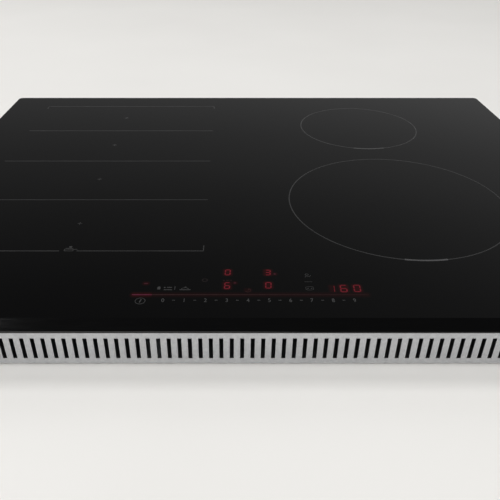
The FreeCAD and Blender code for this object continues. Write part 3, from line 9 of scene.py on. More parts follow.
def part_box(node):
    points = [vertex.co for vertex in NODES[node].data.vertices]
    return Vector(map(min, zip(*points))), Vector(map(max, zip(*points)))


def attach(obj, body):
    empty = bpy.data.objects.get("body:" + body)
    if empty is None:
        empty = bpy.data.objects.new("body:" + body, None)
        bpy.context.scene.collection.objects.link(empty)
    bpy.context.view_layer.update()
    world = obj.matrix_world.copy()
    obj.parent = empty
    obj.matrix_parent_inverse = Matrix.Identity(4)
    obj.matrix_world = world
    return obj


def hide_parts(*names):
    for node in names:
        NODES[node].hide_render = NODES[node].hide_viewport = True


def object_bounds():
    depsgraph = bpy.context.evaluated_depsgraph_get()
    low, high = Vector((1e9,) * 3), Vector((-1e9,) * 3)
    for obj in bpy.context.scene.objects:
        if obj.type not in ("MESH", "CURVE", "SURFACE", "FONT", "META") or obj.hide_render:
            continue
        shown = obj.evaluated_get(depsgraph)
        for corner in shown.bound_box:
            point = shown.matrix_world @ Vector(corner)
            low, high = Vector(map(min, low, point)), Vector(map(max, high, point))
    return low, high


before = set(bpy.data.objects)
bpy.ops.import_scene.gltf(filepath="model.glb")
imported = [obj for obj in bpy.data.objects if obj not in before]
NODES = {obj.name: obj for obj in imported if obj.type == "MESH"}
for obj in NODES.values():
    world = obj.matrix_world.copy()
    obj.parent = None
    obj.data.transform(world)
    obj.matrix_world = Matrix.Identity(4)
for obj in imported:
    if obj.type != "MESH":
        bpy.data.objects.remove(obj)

CAD_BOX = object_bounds()
MM = 0.001
TURN = 2 * math.pi
QUARTER = math.pi / 2

# ---- places taken from the frame ----
# Meshes are drawn in millimetres here, and scaled to metres where a piece is made.


def box(node):
    """The low and high corner of a node's box, in millimetres."""
    low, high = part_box(node)
    return low / MM, high / MM


GLASS_LOW, GLASS_HIGH = box("glass_plate")
GLASS_TOP = GLASS_HIGH.z
SLIDER_LEFT, SLIDER_RIGHT = (corner.x for corner in box("control_print"))
PRINT_Z = (GLASS_TOP + 0.002, box("zone_print")[1].z)
GLOW_Z = (GLASS_TOP + 0.002, GLASS_TOP + 0.03)


# ---- node helpers ----


class Wiring:
    """A node tree under construction, with short calls that add nodes and link them.

    An input takes a value, a colour of three numbers, or another node's output.
    """

    def __init__(self, owner, coords):
        owner.use_nodes = True
        self.tree = owner.node_tree
        self.coords = self.add("TexCoord", {}, coords)

    def fill(self, node, inputs):
        """Fills a node's inputs, given by name or number."""
        for key, value in inputs.items():
            socket = node.inputs[key]
            if hasattr(value, "is_output"):
                self.tree.links.new(value, socket)
            else:
                socket.default_value = (*value, 1.0) if socket.type == "RGBA" else value

    def add(self, kind, inputs, output=0, **settings):
        """One output of a new node; the others are reached through its node."""
        node = self.tree.nodes.new("ShaderNode" + kind)
        for key, value in settings.items():
            setattr(node, key, value)
        self.fill(node, inputs)
        return node.outputs[output]

    def axes(self):
        return self.add("SeparateXYZ", {0: self.coords}).node.outputs[:]

    def channels(self, color):
        return self.add("SeparateColor", {0: color}).node.outputs[:]

    def stretched(self, x, y, z):
        """The coordinates scaled along each axis."""
        return self.add("Mapping", {"Vector": self.coords, "Scale": (x, y, z)})

    def noise(self, scale, detail=3.0, coords=None, output="Fac"):
        return self.add("TexNoise", {"Vector": coords or self.coords, "Scale": scale,
                                     "Detail": detail}, output)

    def cells(self, scale, coords=None, output="Color"):
        return self.add("TexVoronoi", {"Vector": coords or self.coords, "Scale": scale}, output)

    def ramp(self, value, low, high, to_low=0.0, to_high=1.0, kind="LINEAR"):
        return self.add("MapRange", {"Value": value, "From Min": low, "From Max": high,
                                     "To Min": to_low, "To Max": to_high}, interpolation_type=kind)

    def blend(self, factor, first, second):
        return self.add("Mix", {0: factor, 6: first, 7: second}, 2, data_type="RGBA")

    def maths(self, operation, first, second=0.0):
        return self.add("Math", {0: first, 1: second}, operation=operation)

    def total(self, *terms):
        """The sum of (value, weight) terms."""
        result = 0.0
        for value, weight in terms:
            result = self.add("Math", {0: value, 1: weight, 2: result}, operation="MULTIPLY_ADD")
        return result

    def vector(self, operation, first, second=(0.0, 0.0, 0.0)):
        return self.add("VectorMath", {0: first, 1: second},
                        "Value" if operation == "LENGTH" else "Vector", operation=operation)


class Shader(Wiring):
    """A material under construction, with the given inputs of its principled shader."""

    def __init__(self, name, **inputs):
        self.material = bpy.data.materials.new(name)
        super().__init__(self.material, "Object")
        self.put(**inputs)

    def put(self, **inputs):
        """Fills inputs of the principled shader, with _ for the spaces in their names."""
        self.fill(self.tree.nodes["Principled BSDF"],
                  {key.replace("_", " "): value for key, value in inputs.items()})

    def tint(self, value, dark, light, low=0.3, high=0.7):
        """Colours from dark to light as a value climbs from low to high."""
        self.put(Base_Color=self.blend(self.ramp(value, low, high), dark, light))

    def sheen(self, value, glossy, rough, low=0.3, high=0.7):
        """Roughness from glossy to rough as a value climbs from low to high."""
        self.put(Roughness=self.ramp(value, low, high, glossy, rough))

    def bump(self, height, strength, distance):
        self.put(Normal=self.add("Bump", {"Height": height, "Strength": strength,
                                          "Distance": distance}))


# ---- materials ----

GLASS_IOR = 1.5
WHOLE = (0.0, 1.0)  # the range of a value that is used as it stands
# The places along Y, in metres, where the print's painted sheen starts and stops growing: a
# lighter tone painted towards the rear, for the shine of print seen at a glancing angle.
SHEEN_FRONT_Y, SHEEN_REAR_Y = -0.06, 0.14


def black_glass(name="black_glass", spots=()):
    """Polished black glass-ceramic with the faintest haze of wiping marks.

    Each lit spot is (x, y, half width, half depth, reach, strength): a box of light under the
    glass that fades over its reach, as the glass scatters it.
    """
    shader = Shader(name, Base_Color=(0.0008, 0.0008, 0.0009), IOR=GLASS_IOR)
    shader.sheen(shader.noise(9.0, 5.0, shader.stretched(1.0, 0.35, 1.0)), 0.035, 0.075, 0.35)
    shader.bump(shader.noise(14.0, 1.0), 0.02, 0.0004)
    brightest = 0.0
    for x, y, half_x, half_y, reach, strength in spots:
        offset = shader.vector("SUBTRACT", shader.coords, Vector((x, y, GLASS_TOP)) * MM)
        outside = shader.vector("SUBTRACT", shader.vector("ABSOLUTE", offset),
                                (half_x * MM, half_y * MM, 1.0))
        distance = shader.vector("LENGTH", shader.vector("MAXIMUM", outside))
        glow = shader.ramp(distance, 0.0, reach * MM, strength, 0.0, "SMOOTHSTEP")
        brightest = shader.maths("MAXIMUM", glow, brightest)
    shader.put(Emission_Color=(1.0, 0.03, 0.05), Emission_Strength=brightest)
    return shader.material


def ground_glass_edge():
    """The ground and polished edge of the glass: a little rougher and bluer than its face."""
    shader = Shader("glass_edge", Base_Color=(0.0005, 0.0005, 0.0006), IOR=GLASS_IOR)
    grind = shader.noise(900.0, 2.0, shader.stretched(0.05, 1.0, 1.0))
    shader.sheen(grind, 0.09, 0.16)
    shader.bump(grind, 0.04, 0.00002)
    return shader.material


def enamel(name, tone, rear_sheen_gain=1.0):
    """Fired enamel print: dense grey dots with small variations in how much ink they hold.

    The last argument paints the rear of a print that many times lighter than its front: painted
    sheen, for the brighter look of print seen at a glancing angle.
    """
    shader = Shader(name, Roughness=0.4, Specular_IOR_Level=0.35)
    grain = shader.noise(2600.0, 2.0)
    amount = shader.total((grain, 0.6), (shader.noise(60.0, 2.0), 0.4))
    light = shader.ramp(amount, 0.35, 0.65, 0.75, 1.25)
    # painted sheen: the print's tone grows lighter towards the rear, for the shine of print seen
    # at a glancing angle
    tone_with_sheen = shader.ramp(shader.axes()[1], SHEEN_FRONT_Y, SHEEN_REAR_Y, tone, tone * rear_sheen_gain)
    shader.tint(shader.maths("MULTIPLY", light, tone_with_sheen), (0, 0, 0), (1.0, 1.0, 1.02), *WHOLE)
    shader.bump(grain, 0.1, 0.00001)
    return shader.material


def glowing(name, color, strength, left_gain=1.0):
    """Light that shines through the glass, a little uneven along each lit bar.

    Its left end is left_gain times as bright as its right end, over the slider's length.
    """
    shader = Shader(name, Base_Color=(0, 0, 0), Roughness=0.3, Specular_IOR_Level=0.0,
                    Emission_Color=color)
    spread = 0.15 * strength
    uneven = shader.ramp(shader.noise(420.0, 2.0), 0.3, 0.7, strength - spread, strength + spread)
    fall = shader.ramp(shader.axes()[0], SLIDER_LEFT * MM, SLIDER_RIGHT * MM, left_gain, 1.0)
    shader.put(Emission_Strength=shader.maths("MULTIPLY", uneven, fall))
    return shader.material


def galvanised():
    """Hot-dip zinc on steel sheet: small soft-edged spangles that differ in tone and gloss."""
    shader = Shader("galvanised_sheet", Metallic=1.0)
    reach = 0.0012
    jitter = shader.noise(700.0, 2.0, output="Color")
    shift = shader.vector("MULTIPLY", jitter, (reach, reach, reach))
    spangles = shader.cells(460.0, shader.vector("ADD", shader.coords, shift))
    tone, gloss = shader.channels(spangles)[:2]
    fine = shader.noise(1500.0, 3.0, shader.stretched(1.0, 0.25, 1.0))
    mixed = shader.total((tone, 0.42), (shader.noise(300.0), 0.28), (shader.noise(24.0), 0.3))
    shader.tint(mixed, (0.47, 0.48, 0.50), (0.61, 0.62, 0.63), *WHOLE)
    shader.sheen(shader.maths("ADD", gloss, fine), 0.28, 0.48, 0.0, 2.0)
    shader.bump(shader.total((fine, 1.0), (tone, 0.3)), 0.06, 0.00004)
    return shader.material


def brushed_metal(name, light, dark, scale=(4.0, 260.0, 260.0)):
    """Metal with a fine grain along one direction."""
    shader = Shader(name, Metallic=1.0)
    grain = shader.noise(7.0, 4.0, shader.stretched(*scale))
    shader.tint(grain, dark, light)
    shader.sheen(shader.total((grain, 0.6), (shader.noise(30.0, 2.0), 0.4)), 0.24, 0.42)
    shader.bump(grain, 0.05, 0.00002)
    return shader.material


def stained_metal(name, dark, light, scale, glossy, rough, depth):
    """Smooth metal, plated or bare, with small stains."""
    shader = Shader(name, Metallic=1.0)
    stain = shader.noise(scale, 4.0)
    shader.tint(stain, dark, light, 0.35)
    shader.sheen(stain, glossy, rough)
    shader.bump(stain, depth, 0.00002)
    return shader.material


def moulded_plastic(name, color, rough=0.5):
    """Injection-moulded plastic: spark-eroded grain and faint flow marks."""
    shader = Shader(name)
    grain = shader.noise(1400.0, 2.0)
    shader.tint(shader.noise(22.0), Vector(color) * 0.78, Vector(color) * 1.12)
    shader.sheen(grain, rough - 0.06, rough + 0.08)
    shader.bump(grain, 0.18, 0.00004)
    return shader.material


def foam_rubber(name, color, pore_scale, depth):
    """Closed-cell foam or rubber: open pores at its cut faces."""
    shader = Shader(name)
    soft = shader.noise(90.0)
    shader.tint(soft, Vector(color) * 0.7, color)
    shader.sheen(soft, 0.7, 0.9)
    shader.bump(shader.cells(pore_scale, output="Distance"), 0.4, depth)
    return shader.material


def litz_copper():
    """Enamelled litz: fine strands laid in a rope, copper under a warm varnish."""
    shader = Shader("litz_copper", Metallic=0.85)
    strand = shader.noise(1800.0, 2.0)
    lay = shader.noise(420.0)
    shader.tint(lay, (0.36, 0.12, 0.045), (0.74, 0.33, 0.14))
    shader.sheen(strand, 0.28, 0.5)
    shader.bump(shader.maths("ADD", strand, lay), 0.35, 0.00012)
    return shader.material


def fired_ceramic(name, light, dark):
    """Pressed and fired powder, with specks and small pits."""
    shader = Shader(name)
    grain = shader.noise(500.0, 5.0)
    shader.tint(grain, dark, light, 0.35, 0.65)
    shader.sheen(grain, 0.5, 0.75)
    shader.bump(shader.maths("ADD", grain, shader.cells(800.0, output="Distance")), 0.25, 0.00005)
    return shader.material


def mica_sheet():
    """Pressed mica: translucent-looking flakes in silver and amber."""
    shader = Shader("mica_sheet")
    tone, gloss, height = shader.channels(shader.cells(420.0))
    shader.tint(tone, (0.34, 0.27, 0.17), (0.66, 0.58, 0.42), *WHOLE)
    shader.sheen(gloss, 0.2, 0.5, *WHOLE)
    shader.bump(height, 0.1, 0.00003)
    return shader.material


def circuit_board():
    """Green solder mask over runs of parallel tracks and copper fields, with tinned pads."""
    shader = Shader("circuit_board")
    place = shader.axes()
    track_pitch, pad_pitch, soft_edge = 0.0021, 0.0042, 0.04

    def stripes(axis, pitch, half_line):
        """One on lines across an axis, by the distance from the middle of each period."""
        turn = shader.maths("FRACT", shader.maths("MULTIPLY", place[axis], 1.0 / pitch))
        away = shader.maths("ABSOLUTE", shader.maths("SUBTRACT", turn, 0.5))
        return shader.ramp(away, half_line, half_line + soft_edge, 1.0, 0.0)

    def chance(value, share):
        return shader.maths("GREATER_THAN", value, 1.0 - share)

    heading, field, gloss = shader.channels(shader.cells(52.0))
    lines = shader.blend(chance(heading, 0.5), stripes(0, track_pitch, 0.17),
                         stripes(1, track_pitch, 0.17))
    track = shader.blend(chance(field, 0.6), (0.35, 0.35, 0.35), lines)
    holes = shader.maths("MULTIPLY", stripes(0, pad_pitch, 0.13), stripes(1, pad_pitch, 0.13))
    drilled = chance(shader.channels(shader.cells(170.0))[0], 0.38)
    pads = shader.maths("MULTIPLY", holes, drilled)
    mask = shader.blend(track, (0.006, 0.072, 0.026), (0.022, 0.17, 0.066))
    shader.put(Base_Color=shader.blend(pads, mask, (0.72, 0.71, 0.67)), Metallic=pads)
    shader.sheen(gloss, 0.24, 0.38, *WHOLE)
    shader.bump(track, 0.3, 0.00004)
    return shader.material


def studio_floor():
    shader = Shader("studio_floor", Roughness=0.7)
    shader.tint(shader.noise(3.0), (0.785, 0.775, 0.755), (0.81, 0.80, 0.78))
    return shader.material


# ---- mesh helpers ----


def linked(name, data):
    made = bpy.data.objects.new(name, data)
    bpy.context.scene.collection.objects.link(made)
    return made


def drawn(groups):
    """A bmesh in metres of groups of (vertices, faces) parts, each group with its own material."""
    built = bmesh.new()
    for number, parts in enumerate(groups):
        for vertices, faces in parts:
            made = [built.verts.new(Vector(v) * MM) for v in vertices]
            for face in faces:
                built.faces.new([made[i] for i in face]).material_index = number
    return built


def finished(name, built, materials, body="housing", replaced=()):
    """One visible piece from a bmesh, riding on a body in place of the replaced nodes."""
    mesh = bpy.data.meshes.new(name)
    built.to_mesh(mesh)
    built.free()
    for material in materials:
        mesh.materials.append(material)
    made = linked(name, mesh)
    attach(made, body)
    if replaced:
        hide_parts(*replaced)


def piece(name, groups, materials, body="housing", replaced=()):
    """One visible piece from a group of parts for each of its materials."""
    built = drawn(groups)
    bmesh.ops.recalc_face_normals(built, faces=built.faces)
    finished(name, built, materials, body, replaced)


def extent(points):
    """The low and high corner of the box round some points."""
    return tuple(Vector([pick(p[i] for p in points) for i in range(3)]) for pick in (min, max))


def skin(rows, capped=True):
    """Faces over closed rows of points; the first and last row are capped, or else joined."""
    count = len(rows[0])
    vertices = [point for row in rows for point in row]
    last = len(vertices) - count
    faces = [range(count)[::-1], range(last, last + count)] if capped else []
    for k in range(len(rows) - capped):
        lower, upper = k * count, (k + 1) % len(rows) * count
        for i in range(count):
            j = (i + 1) % count
            faces.append((lower + i, lower + j, upper + j, upper + i))
    return vertices, faces


def arc_points(x, y, radius, first, last, count, flatten=1.0):
    step = (last - first) / (count - 1)
    return [(x + radius * math.cos(first + i * step),
             y + radius * flatten * math.sin(first + i * step)) for i in range(count)]


def circle(x, y, radius, count):
    return arc_points(x, y, radius, 0, TURN * (count - 1) / count, count)


def rounded_outline(low, high, radius, inset=0.0, steps=5):
    """The anticlockwise outline of a box in plan with rounded corners, moved in by an inset."""
    corners = ((high.x - radius, low.y + radius), (high.x - radius, high.y - radius),
               (low.x + radius, high.y - radius), (low.x + radius, low.y + radius))
    points = []
    for k, (x, y) in enumerate(corners):
        points += arc_points(x, y, radius - inset, (k - 1) * QUARTER, k * QUARTER, steps)
    return points


def stacked(outline, levels):
    """A closed solid through outline(inset) at each (inset, z)."""
    return skin([[(x, y, z) for x, y in outline(inset)] for inset, z in levels])


def slab(outline, z):
    """A closed prism on a plan outline that runs anticlockwise."""
    return skin([[(x, y, level) for x, y in outline] for level in z])


def strip(inner, outer, z, closed=False):
    """A flat band between two rows of plan points, such as a ring or an arc."""
    low, high = z
    return skin([[(*a, low), (*b, low), (*b, high), (*a, high)] for a, b in zip(inner, outer)],
                capped=not closed)


def revolved(x, y, section, count):
    """A closed section of (radius, z) points turned round an upright axis."""
    return skin([[(x + r * a, y + r * b, z) for r, z in section]
                 for a, b in circle(0, 0, 1, count)], capped=False)


def rod(x0, x1, y, z, radius):
    """A round bar along X."""
    return skin([[(x, b, c) for b, c in circle(y, z, radius, 20)] for x in (x0, x1)])


def closed_tube(path, normal, radius, sides):
    """A round wire along a closed flat path that lies across the given normal."""
    rows = []
    for i, point in enumerate(path):
        along = (path[(i + 1) % len(path)] - path[i - 1]).normalized()
        rows.append([point + along.cross(normal) * a + normal * b
                     for a, b in circle(0, 0, radius, sides)])
    return skin(rows, capped=False)


def disc(x, y, radius, count, z):
    return slab(circle(x, y, radius, count), z)


def ring_band(x, y, radius, width, count, z):
    return strip(circle(x, y, radius - width / 2, count), circle(x, y, radius + width / 2, count),
                 z, closed=True)


def arc_band(x, y, radius, width, first, last, count, z, flatten=1.0):
    """A flat arc between two angles in degrees."""
    rows = [arc_points(x, y, radius + side * width / 2, math.radians(first), math.radians(last),
                       count, flatten) for side in (-1, 1)]
    return strip(*rows, z)


def frame_band(x, y, width, depth, stroke, radius, z):
    """The outline of a rounded rectangle as a flat band."""
    middle, half = Vector((x, y)), Vector((width / 2, depth / 2))
    inner, outer = (rounded_outline(middle - half, middle + half, radius, inset)
                    for inset in (stroke, 0.0))
    return strip(inner, outer, z, closed=True)


def bar(x0, y0, x1, y1, width, z, rounded=True):
    """A stroke from one plan point to another, with round or square ends."""
    angle = math.atan2(y1 - y0, x1 - x0)
    steps = 7 if rounded else 2
    return slab(arc_points(x1, y1, width / 2, angle - QUARTER, angle + QUARTER, steps)
                + arc_points(x0, y0, width / 2, angle + QUARTER, angle + 3 * QUARTER, steps), z)


def soft_levels(z0, z1, soften, steps=3):
    """Levels of a solid whose bottom and top edges are rounded over."""
    turns = [QUARTER * n / steps for n in range(steps + 1)]
    lower = [(soften * (1 - math.sin(t)), z0 + soften * (1 - math.cos(t))) for t in turns]
    upper = [(soften * (1 - math.cos(t)), z1 - soften * (1 - math.sin(t))) for t in turns]
    return lower + upper


def soft_block(low, high, radius, soften):
    """A moulded block: rounded upright corners and softened edges."""
    return stacked(lambda inset: rounded_outline(low, high, radius, inset),
                   soft_levels(low.z, high.z, soften))


def block_at(x, y, half_x, half_y, z, radius, soften):
    """A moulded block round a plan point."""
    return soft_block(Vector((x - half_x, y - half_y, z[0])),
                      Vector((x + half_x, y + half_y, z[1])), radius, soften)


def base_block(low, high, thickness, radius=1.0, soften=0.4):
    """The foot of a component, over its whole plan."""
    return soft_block(low, Vector((high.x, high.y, low.z + thickness)), radius, soften)


# ---- glass ----

CORNER_RADIUS = 5.0
ARRIS = 0.35
FACET_RUN, FACET_DROP = 12.5, 2.4
LEVEL_FACE = 0.9995


def hob_glass(face_material, edge_material):
    """The glass plate: arrised edges all round and the ground facet along the front."""
    built = drawn([[stacked(
        lambda inset: rounded_outline(GLASS_LOW, GLASS_HIGH, CORNER_RADIUS, inset, 10),
        soft_levels(GLASS_LOW.z, GLASS_TOP, ARRIS, 4))]])
    for face in built.faces:
        face.smooth = len(face.verts) == 4
    cut = bmesh.ops.bisect_plane(
        built, geom=built.verts[:] + built.edges[:] + built.faces[:], dist=1e-7,
        plane_co=Vector((0, GLASS_LOW.y + FACET_RUN, GLASS_TOP)) * MM,
        plane_no=Vector((0, -FACET_DROP, FACET_RUN)).normalized(), clear_outer=True)
    rim = [part for part in cut["geom_cut"] if isinstance(part, bmesh.types.BMEdge)]
    facet = bmesh.ops.contextual_create(built, geom=rim)["faces"]
    for face in built.faces:
        face.material_index = 0 if face.normal.z > LEVEL_FACE else 1
    for face in facet:
        face.smooth = False
    bmesh.ops.recalc_face_normals(built, faces=built.faces)
    finished("hob_glass", built, [face_material, edge_material],
             replaced=("glass_plate",))


# ---- print ----

RING_LINE, LINE, STROKE = 1.0, 0.95, 0.7
ACCENT_LINE, ACCENT_HALF = 2.0, 18.0
FRONT_RING_MARGIN, REAR_RING_MARGIN = 4.0, 4.6


def zone_ring(node, margin):
    """The thin ring of a round zone, and the heavier arc at its front."""
    low, high = box(node)
    x, y, _ = (low + high) / 2
    radius = (high.x - low.x) / 2 + margin
    half = math.degrees(ACCENT_HALF / radius)
    return (arc_band(x, y, radius, RING_LINE, half - 90, 270 - half, 160, PRINT_Z),
            arc_band(x, y, radius, ACCENT_LINE, -half - 90, half - 90, 24, PRINT_Z))


def pot_mark(x, y):
    """A generic pot with its lid, on the zone's front line."""
    return [frame_band(x + 0.4, y + 1.4, 8.2, 3.4, STROKE, 1.1, PRINT_Z),
            bar(x - 2.6, y + 4.2, x + 3.4, y + 4.2, STROKE, PRINT_Z),
            disc(x + 1.0, y + 6.4, 1.4, 20, PRINT_Z),
            bar(x + 5.0, y + 2.4, x + 7.4, y + 2.4, STROKE, PRINT_Z)]


def zone_marks(thin_material, heavy_material):
    """Both rings, and the flexible zone's ruled field with a cross in each quarter."""
    rings = (zone_ring("front_winding", FRONT_RING_MARGIN),
             zone_ring("rear_winding", REAR_RING_MARGIN))
    thin, heavy = (list(kind) for kind in zip(*rings))
    low, high = box("flex_windings")
    left, right = low.x - 2.0, high.x + 1.6
    front, rear = low.y - 2.5, high.y + 2.5
    middle = (left + right) / 2
    pitch = (rear - front) / 4
    pot_gap, tick, arm = 7.5, 9.0, 1.9
    lines = [(left, front + n * pitch, right, front + n * pitch, LINE) for n in range(1, 5)]
    lines += [(left, front, middle - pot_gap, front, LINE),
              (middle + pot_gap, front, right, front, LINE)]
    for x in (left + STROKE / 2, right - STROKE / 2):
        lines += [(x, front, x, front + tick, STROKE), (x, rear, x, rear - tick, STROKE)]
    thin += [bar(*line, PRINT_Z, rounded=False) for line in lines]
    for n in range(4):
        y = front + (n + 0.5) * pitch
        width = 0.7 + 0.25 * n
        thin += [bar(middle - arm, y, middle + arm, y, width, PRINT_Z),
                 bar(middle, y - arm, middle, y + arm, width, PRINT_Z)]
    thin += pot_mark(middle, front)
    piece("zone_marks", [thin, heavy], [thin_material, heavy_material],
          replaced=("zone_print",))


SLIDER_Y = -220.5
DIGIT_Y = -227.5
DIGIT_FIRST = SLIDER_LEFT + 24.2
DIGIT_PITCH = 16.0
DIGIT_SIZE = 6.2
DIGIT_NARROW = 0.75


def number_mesh(text):
    """A number in the plain built-in typeface as a flat mesh in metres, round its middle."""
    curve = bpy.data.curves.new("number", "FONT")
    curve.body = text
    curve.size = DIGIT_SIZE * MM
    curve.extrude = (PRINT_Z[1] - PRINT_Z[0]) / 2 * MM
    made = linked("number", curve)
    bpy.context.view_layer.update()
    mesh = bpy.data.meshes.new_from_object(made.evaluated_get(
        bpy.context.evaluated_depsgraph_get()))
    low, high = extent([v.co for v in mesh.vertices])
    mesh.transform(Matrix.Translation(-(low + high) / 2))
    mesh.transform(Matrix.Diagonal((DIGIT_NARROW, 1.0, 1.0, 1.0)))
    bpy.data.objects.remove(made)
    bpy.data.curves.remove(curve)
    return mesh


def control_numbers(material):
    """Numbers 0 to 9 under the slider, with a short dash between neighbours."""
    joined = bmesh.new()
    for n in range(10):
        mesh = number_mesh(str(n))
        place = Vector((DIGIT_FIRST + n * DIGIT_PITCH, DIGIT_Y, sum(PRINT_Z) / 2)) * MM
        mesh.transform(Matrix.Translation(place))
        joined.from_mesh(mesh)
        bpy.data.meshes.remove(mesh)
    finished("control_numbers", joined, [material])
    middles = [DIGIT_FIRST + (n + 0.5) * DIGIT_PITCH for n in range(9)]
    dashes = [bar(x - 0.9, DIGIT_Y, x + 0.9, DIGIT_Y, 0.5, PRINT_Z) for x in middles]
    piece("number_dashes", [dashes], [material])


def power_key():
    """The standby mark: a ring with a short stroke in it."""
    x, y = SLIDER_LEFT + 7.3, -228.4
    return [ring_band(x, y, 3.7, 0.5, 48, PRINT_Z),
            bar(x - 0.3, y - 1.6, x + 0.5, y + 1.8, 0.9, PRINT_Z)]


def column_keys():
    """Three generic marks beside the timer: a small hook, a dash and a lock-like frame."""
    x = 36.2
    hook_y, dash_y, frame_y = -195.2, -203.5, -212.2
    stroke = 0.45
    return [ring_band(x - 0.3, hook_y + 1.5, 1.2, stroke, 20, PRINT_Z),
            arc_band(x + 0.3, hook_y + 1.1, 2.4, stroke, 215, 350, 20, PRINT_Z),
            bar(x - 1.9, hook_y - 2.2, x - 1.4, hook_y - 0.6, stroke, PRINT_Z),
            bar(x - 3.0, dash_y, x + 2.8, dash_y, 0.4, PRINT_Z),
            frame_band(x, frame_y, 6.2, 4.8, 0.3, 1.8, PRINT_Z),
            disc(x - 1.3, frame_y, 0.5, 12, PRINT_Z), disc(x + 1.5, frame_y, 0.5, 12, PRINT_Z)]


def row_keys():
    """Marks left of the slider: a pointed block, a bulleted list, a divider, a covered dish."""
    block, list_x, divider, dish = (SLIDER_LEFT + step for step in (19.7, 26.9, 32.0, 39.9))
    top, low, foot = -209.6, -213.7, -214.1
    half = 1.2
    stroke = 0.9
    return [slab([(block - half, low), (block + half, low), (block + half, top - half),
                  (block, top), (block - half, top - half)], PRINT_Z),
            bar(list_x - 2.9, foot, list_x + 2.7, foot, stroke, PRINT_Z),
            bar(list_x - 0.8, foot + 3.1, list_x + 2.4, foot + 3.1, stroke, PRINT_Z),
            disc(list_x - 2.8, foot + 2.9, 0.7, 12, PRINT_Z),
            bar(divider, low, divider, top, 0.5, PRINT_Z),
            bar(dish - 3.8, foot, dish + 4.0, foot, stroke, PRINT_Z),
            arc_band(dish, foot + 0.2, 2.9, 0.5, 2.865, 177.135, 24, PRINT_Z, flatten=0.8),
            disc(dish + 0.3, foot + 3.2, 0.8, 12, PRINT_Z)]


# ---- lit marks ----

# Where each segment starts and ends, in half widths and half heights of its digit.
ENDS = {"a": (-1, 1, 1, 1), "b": (1, 0, 1, 1), "c": (1, -1, 1, 0), "d": (-1, -1, 1, -1),
        "e": (-1, -1, -1, 0), "f": (-1, 0, -1, 1), "g": (-1, 0, 1, 0)}
SEGMENTS = {"0": "abcdef", "1": "bc", "3": "abgcd", "6": "afgedc"}
SLANT = 0.06
SEGMENT_GAP = 0.16
# Digit, x, y, width, height and stroke of each.
DISPLAYS = (("0", -27.2, -190.4, 4.8, 8.1, 1.0), ("6", -27.6, -208.7, 4.7, 9.0, 0.95),
            ("3", 5.0, -190.6, 4.7, 7.8, 1.05), ("0", 4.5, -208.2, 5.0, 8.4, 0.95),
            ("1", 53.9, -212.9, 3.0, 8.6, 0.5), ("6", 62.4, -212.5, 5.6, 9.6, 1.0),
            ("0", 72.8, -212.3, 5.6, 9.4, 0.95))
LIT_DOTS = ((-21.6, -205.0), (10.4, -192.7))
DOT_RADIUS = 0.95
DIM_KEY = (-11.6, -214.9)
FAINT_KEY = (-45.2, -201.3)
RED_LEFT, RED_RIGHT, RED_Y = -91.9, -90.1, -205.8
FIRST_STEP = 15.2


def lit_digit(text, x, y, width, height, stroke):
    """A seven-segment number made of bars with pointed ends."""
    half_w, half_h = (width - stroke) / 2, (height - stroke) / 2
    parts = []
    for name in SEGMENTS[text]:
        x0, y0, x1, y1 = ENDS[name]
        start, end = Vector((x0 * half_w, y0 * half_h)), Vector((x1 * half_w, y1 * half_h))
        along = (end - start).normalized()
        side = Vector((-along.y, along.x)) * stroke / 2
        tip = along * stroke / 2
        start += along * stroke * SEGMENT_GAP
        end -= along * stroke * SEGMENT_GAP
        outline = (start, start + tip - side, end - tip - side, end, end - tip + side,
                   start + tip + side)
        parts.append(slab([(x + p.x + SLANT * p.y, y + p.y) for p in outline], GLOW_Z))
    return parts


def lit_marks(numbers, dots, dim, faint, slider_bright, slider_dim):
    """What shines through the glass: digits, dots, keys too dim to read and the slider."""
    digits = [part for digit in DISPLAYS for part in lit_digit(*digit)]
    piece("lit_numbers", [digits], [numbers])
    parts = [disc(x, y, DOT_RADIUS, 20, GLOW_Z) for x, y in LIT_DOTS]
    parts.append(bar(RED_LEFT, RED_Y, RED_RIGHT, RED_Y, 1.3, GLOW_Z))
    piece("lit_dots", [parts], [dots])
    x, y = DIM_KEY
    parts = [arc_band(x, y, 2.1, 0.8, 200, 440, 24, GLOW_Z),
             bar(x, y, x + 0.7, y + 1.2, 0.6, GLOW_Z)]
    x, y = DISPLAYS[1][1], DISPLAYS[1][2] + 7.2
    parts += [bar(x + step - half, y, x + step + half, y, 1.0, GLOW_Z)
              for step, half in ((-2.6, 0.3), (0.4, 0.7), (3.0, 0.3))]
    piece("faint_marks", [parts, [ring_band(*FAINT_KEY, 1.9, 0.8, 24, GLOW_Z)]], [dim, faint])
    half = 0.45  # of the slider's stroke
    lit_end = SLIDER_LEFT + FIRST_STEP
    first = bar(SLIDER_LEFT + half, SLIDER_Y, lit_end - half, SLIDER_Y, 2 * half, GLOW_Z)
    rest = bar(lit_end + half, SLIDER_Y, SLIDER_RIGHT - half, SLIDER_Y, 1.6 * half, GLOW_Z)
    piece("slider_light", [[first], [rest]], [slider_bright, slider_dim])


def lit_spots():
    """Where the glass itself glows around what shines through it, as black_glass takes them."""
    middle, half = (SLIDER_LEFT + SLIDER_RIGHT) / 2, (SLIDER_RIGHT - SLIDER_LEFT) / 2
    first = 7.4  # half the slider's first step
    return [(middle, SLIDER_Y, half - 1.5, 0.3, 4.6, 0.006),
            (SLIDER_LEFT + first, SLIDER_Y, first - 1.5, 0.4, 4.2, 0.019),
            *((x, y, width * 0.4, height * 0.4, 3.2, 0.016 * stroke)
              for _, x, y, width, height, stroke in DISPLAYS),
            *((x, y, 0.3, 0.4, 3.0, 0.012) for x, y in LIT_DOTS),
            ((RED_LEFT + RED_RIGHT) / 2, RED_Y, (RED_RIGHT - RED_LEFT) / 2, 0.4, 3.2, 0.013),
            (*DIM_KEY, 1.5, 1.2, 3.0, 0.006)]


# ---- clamp screws ----


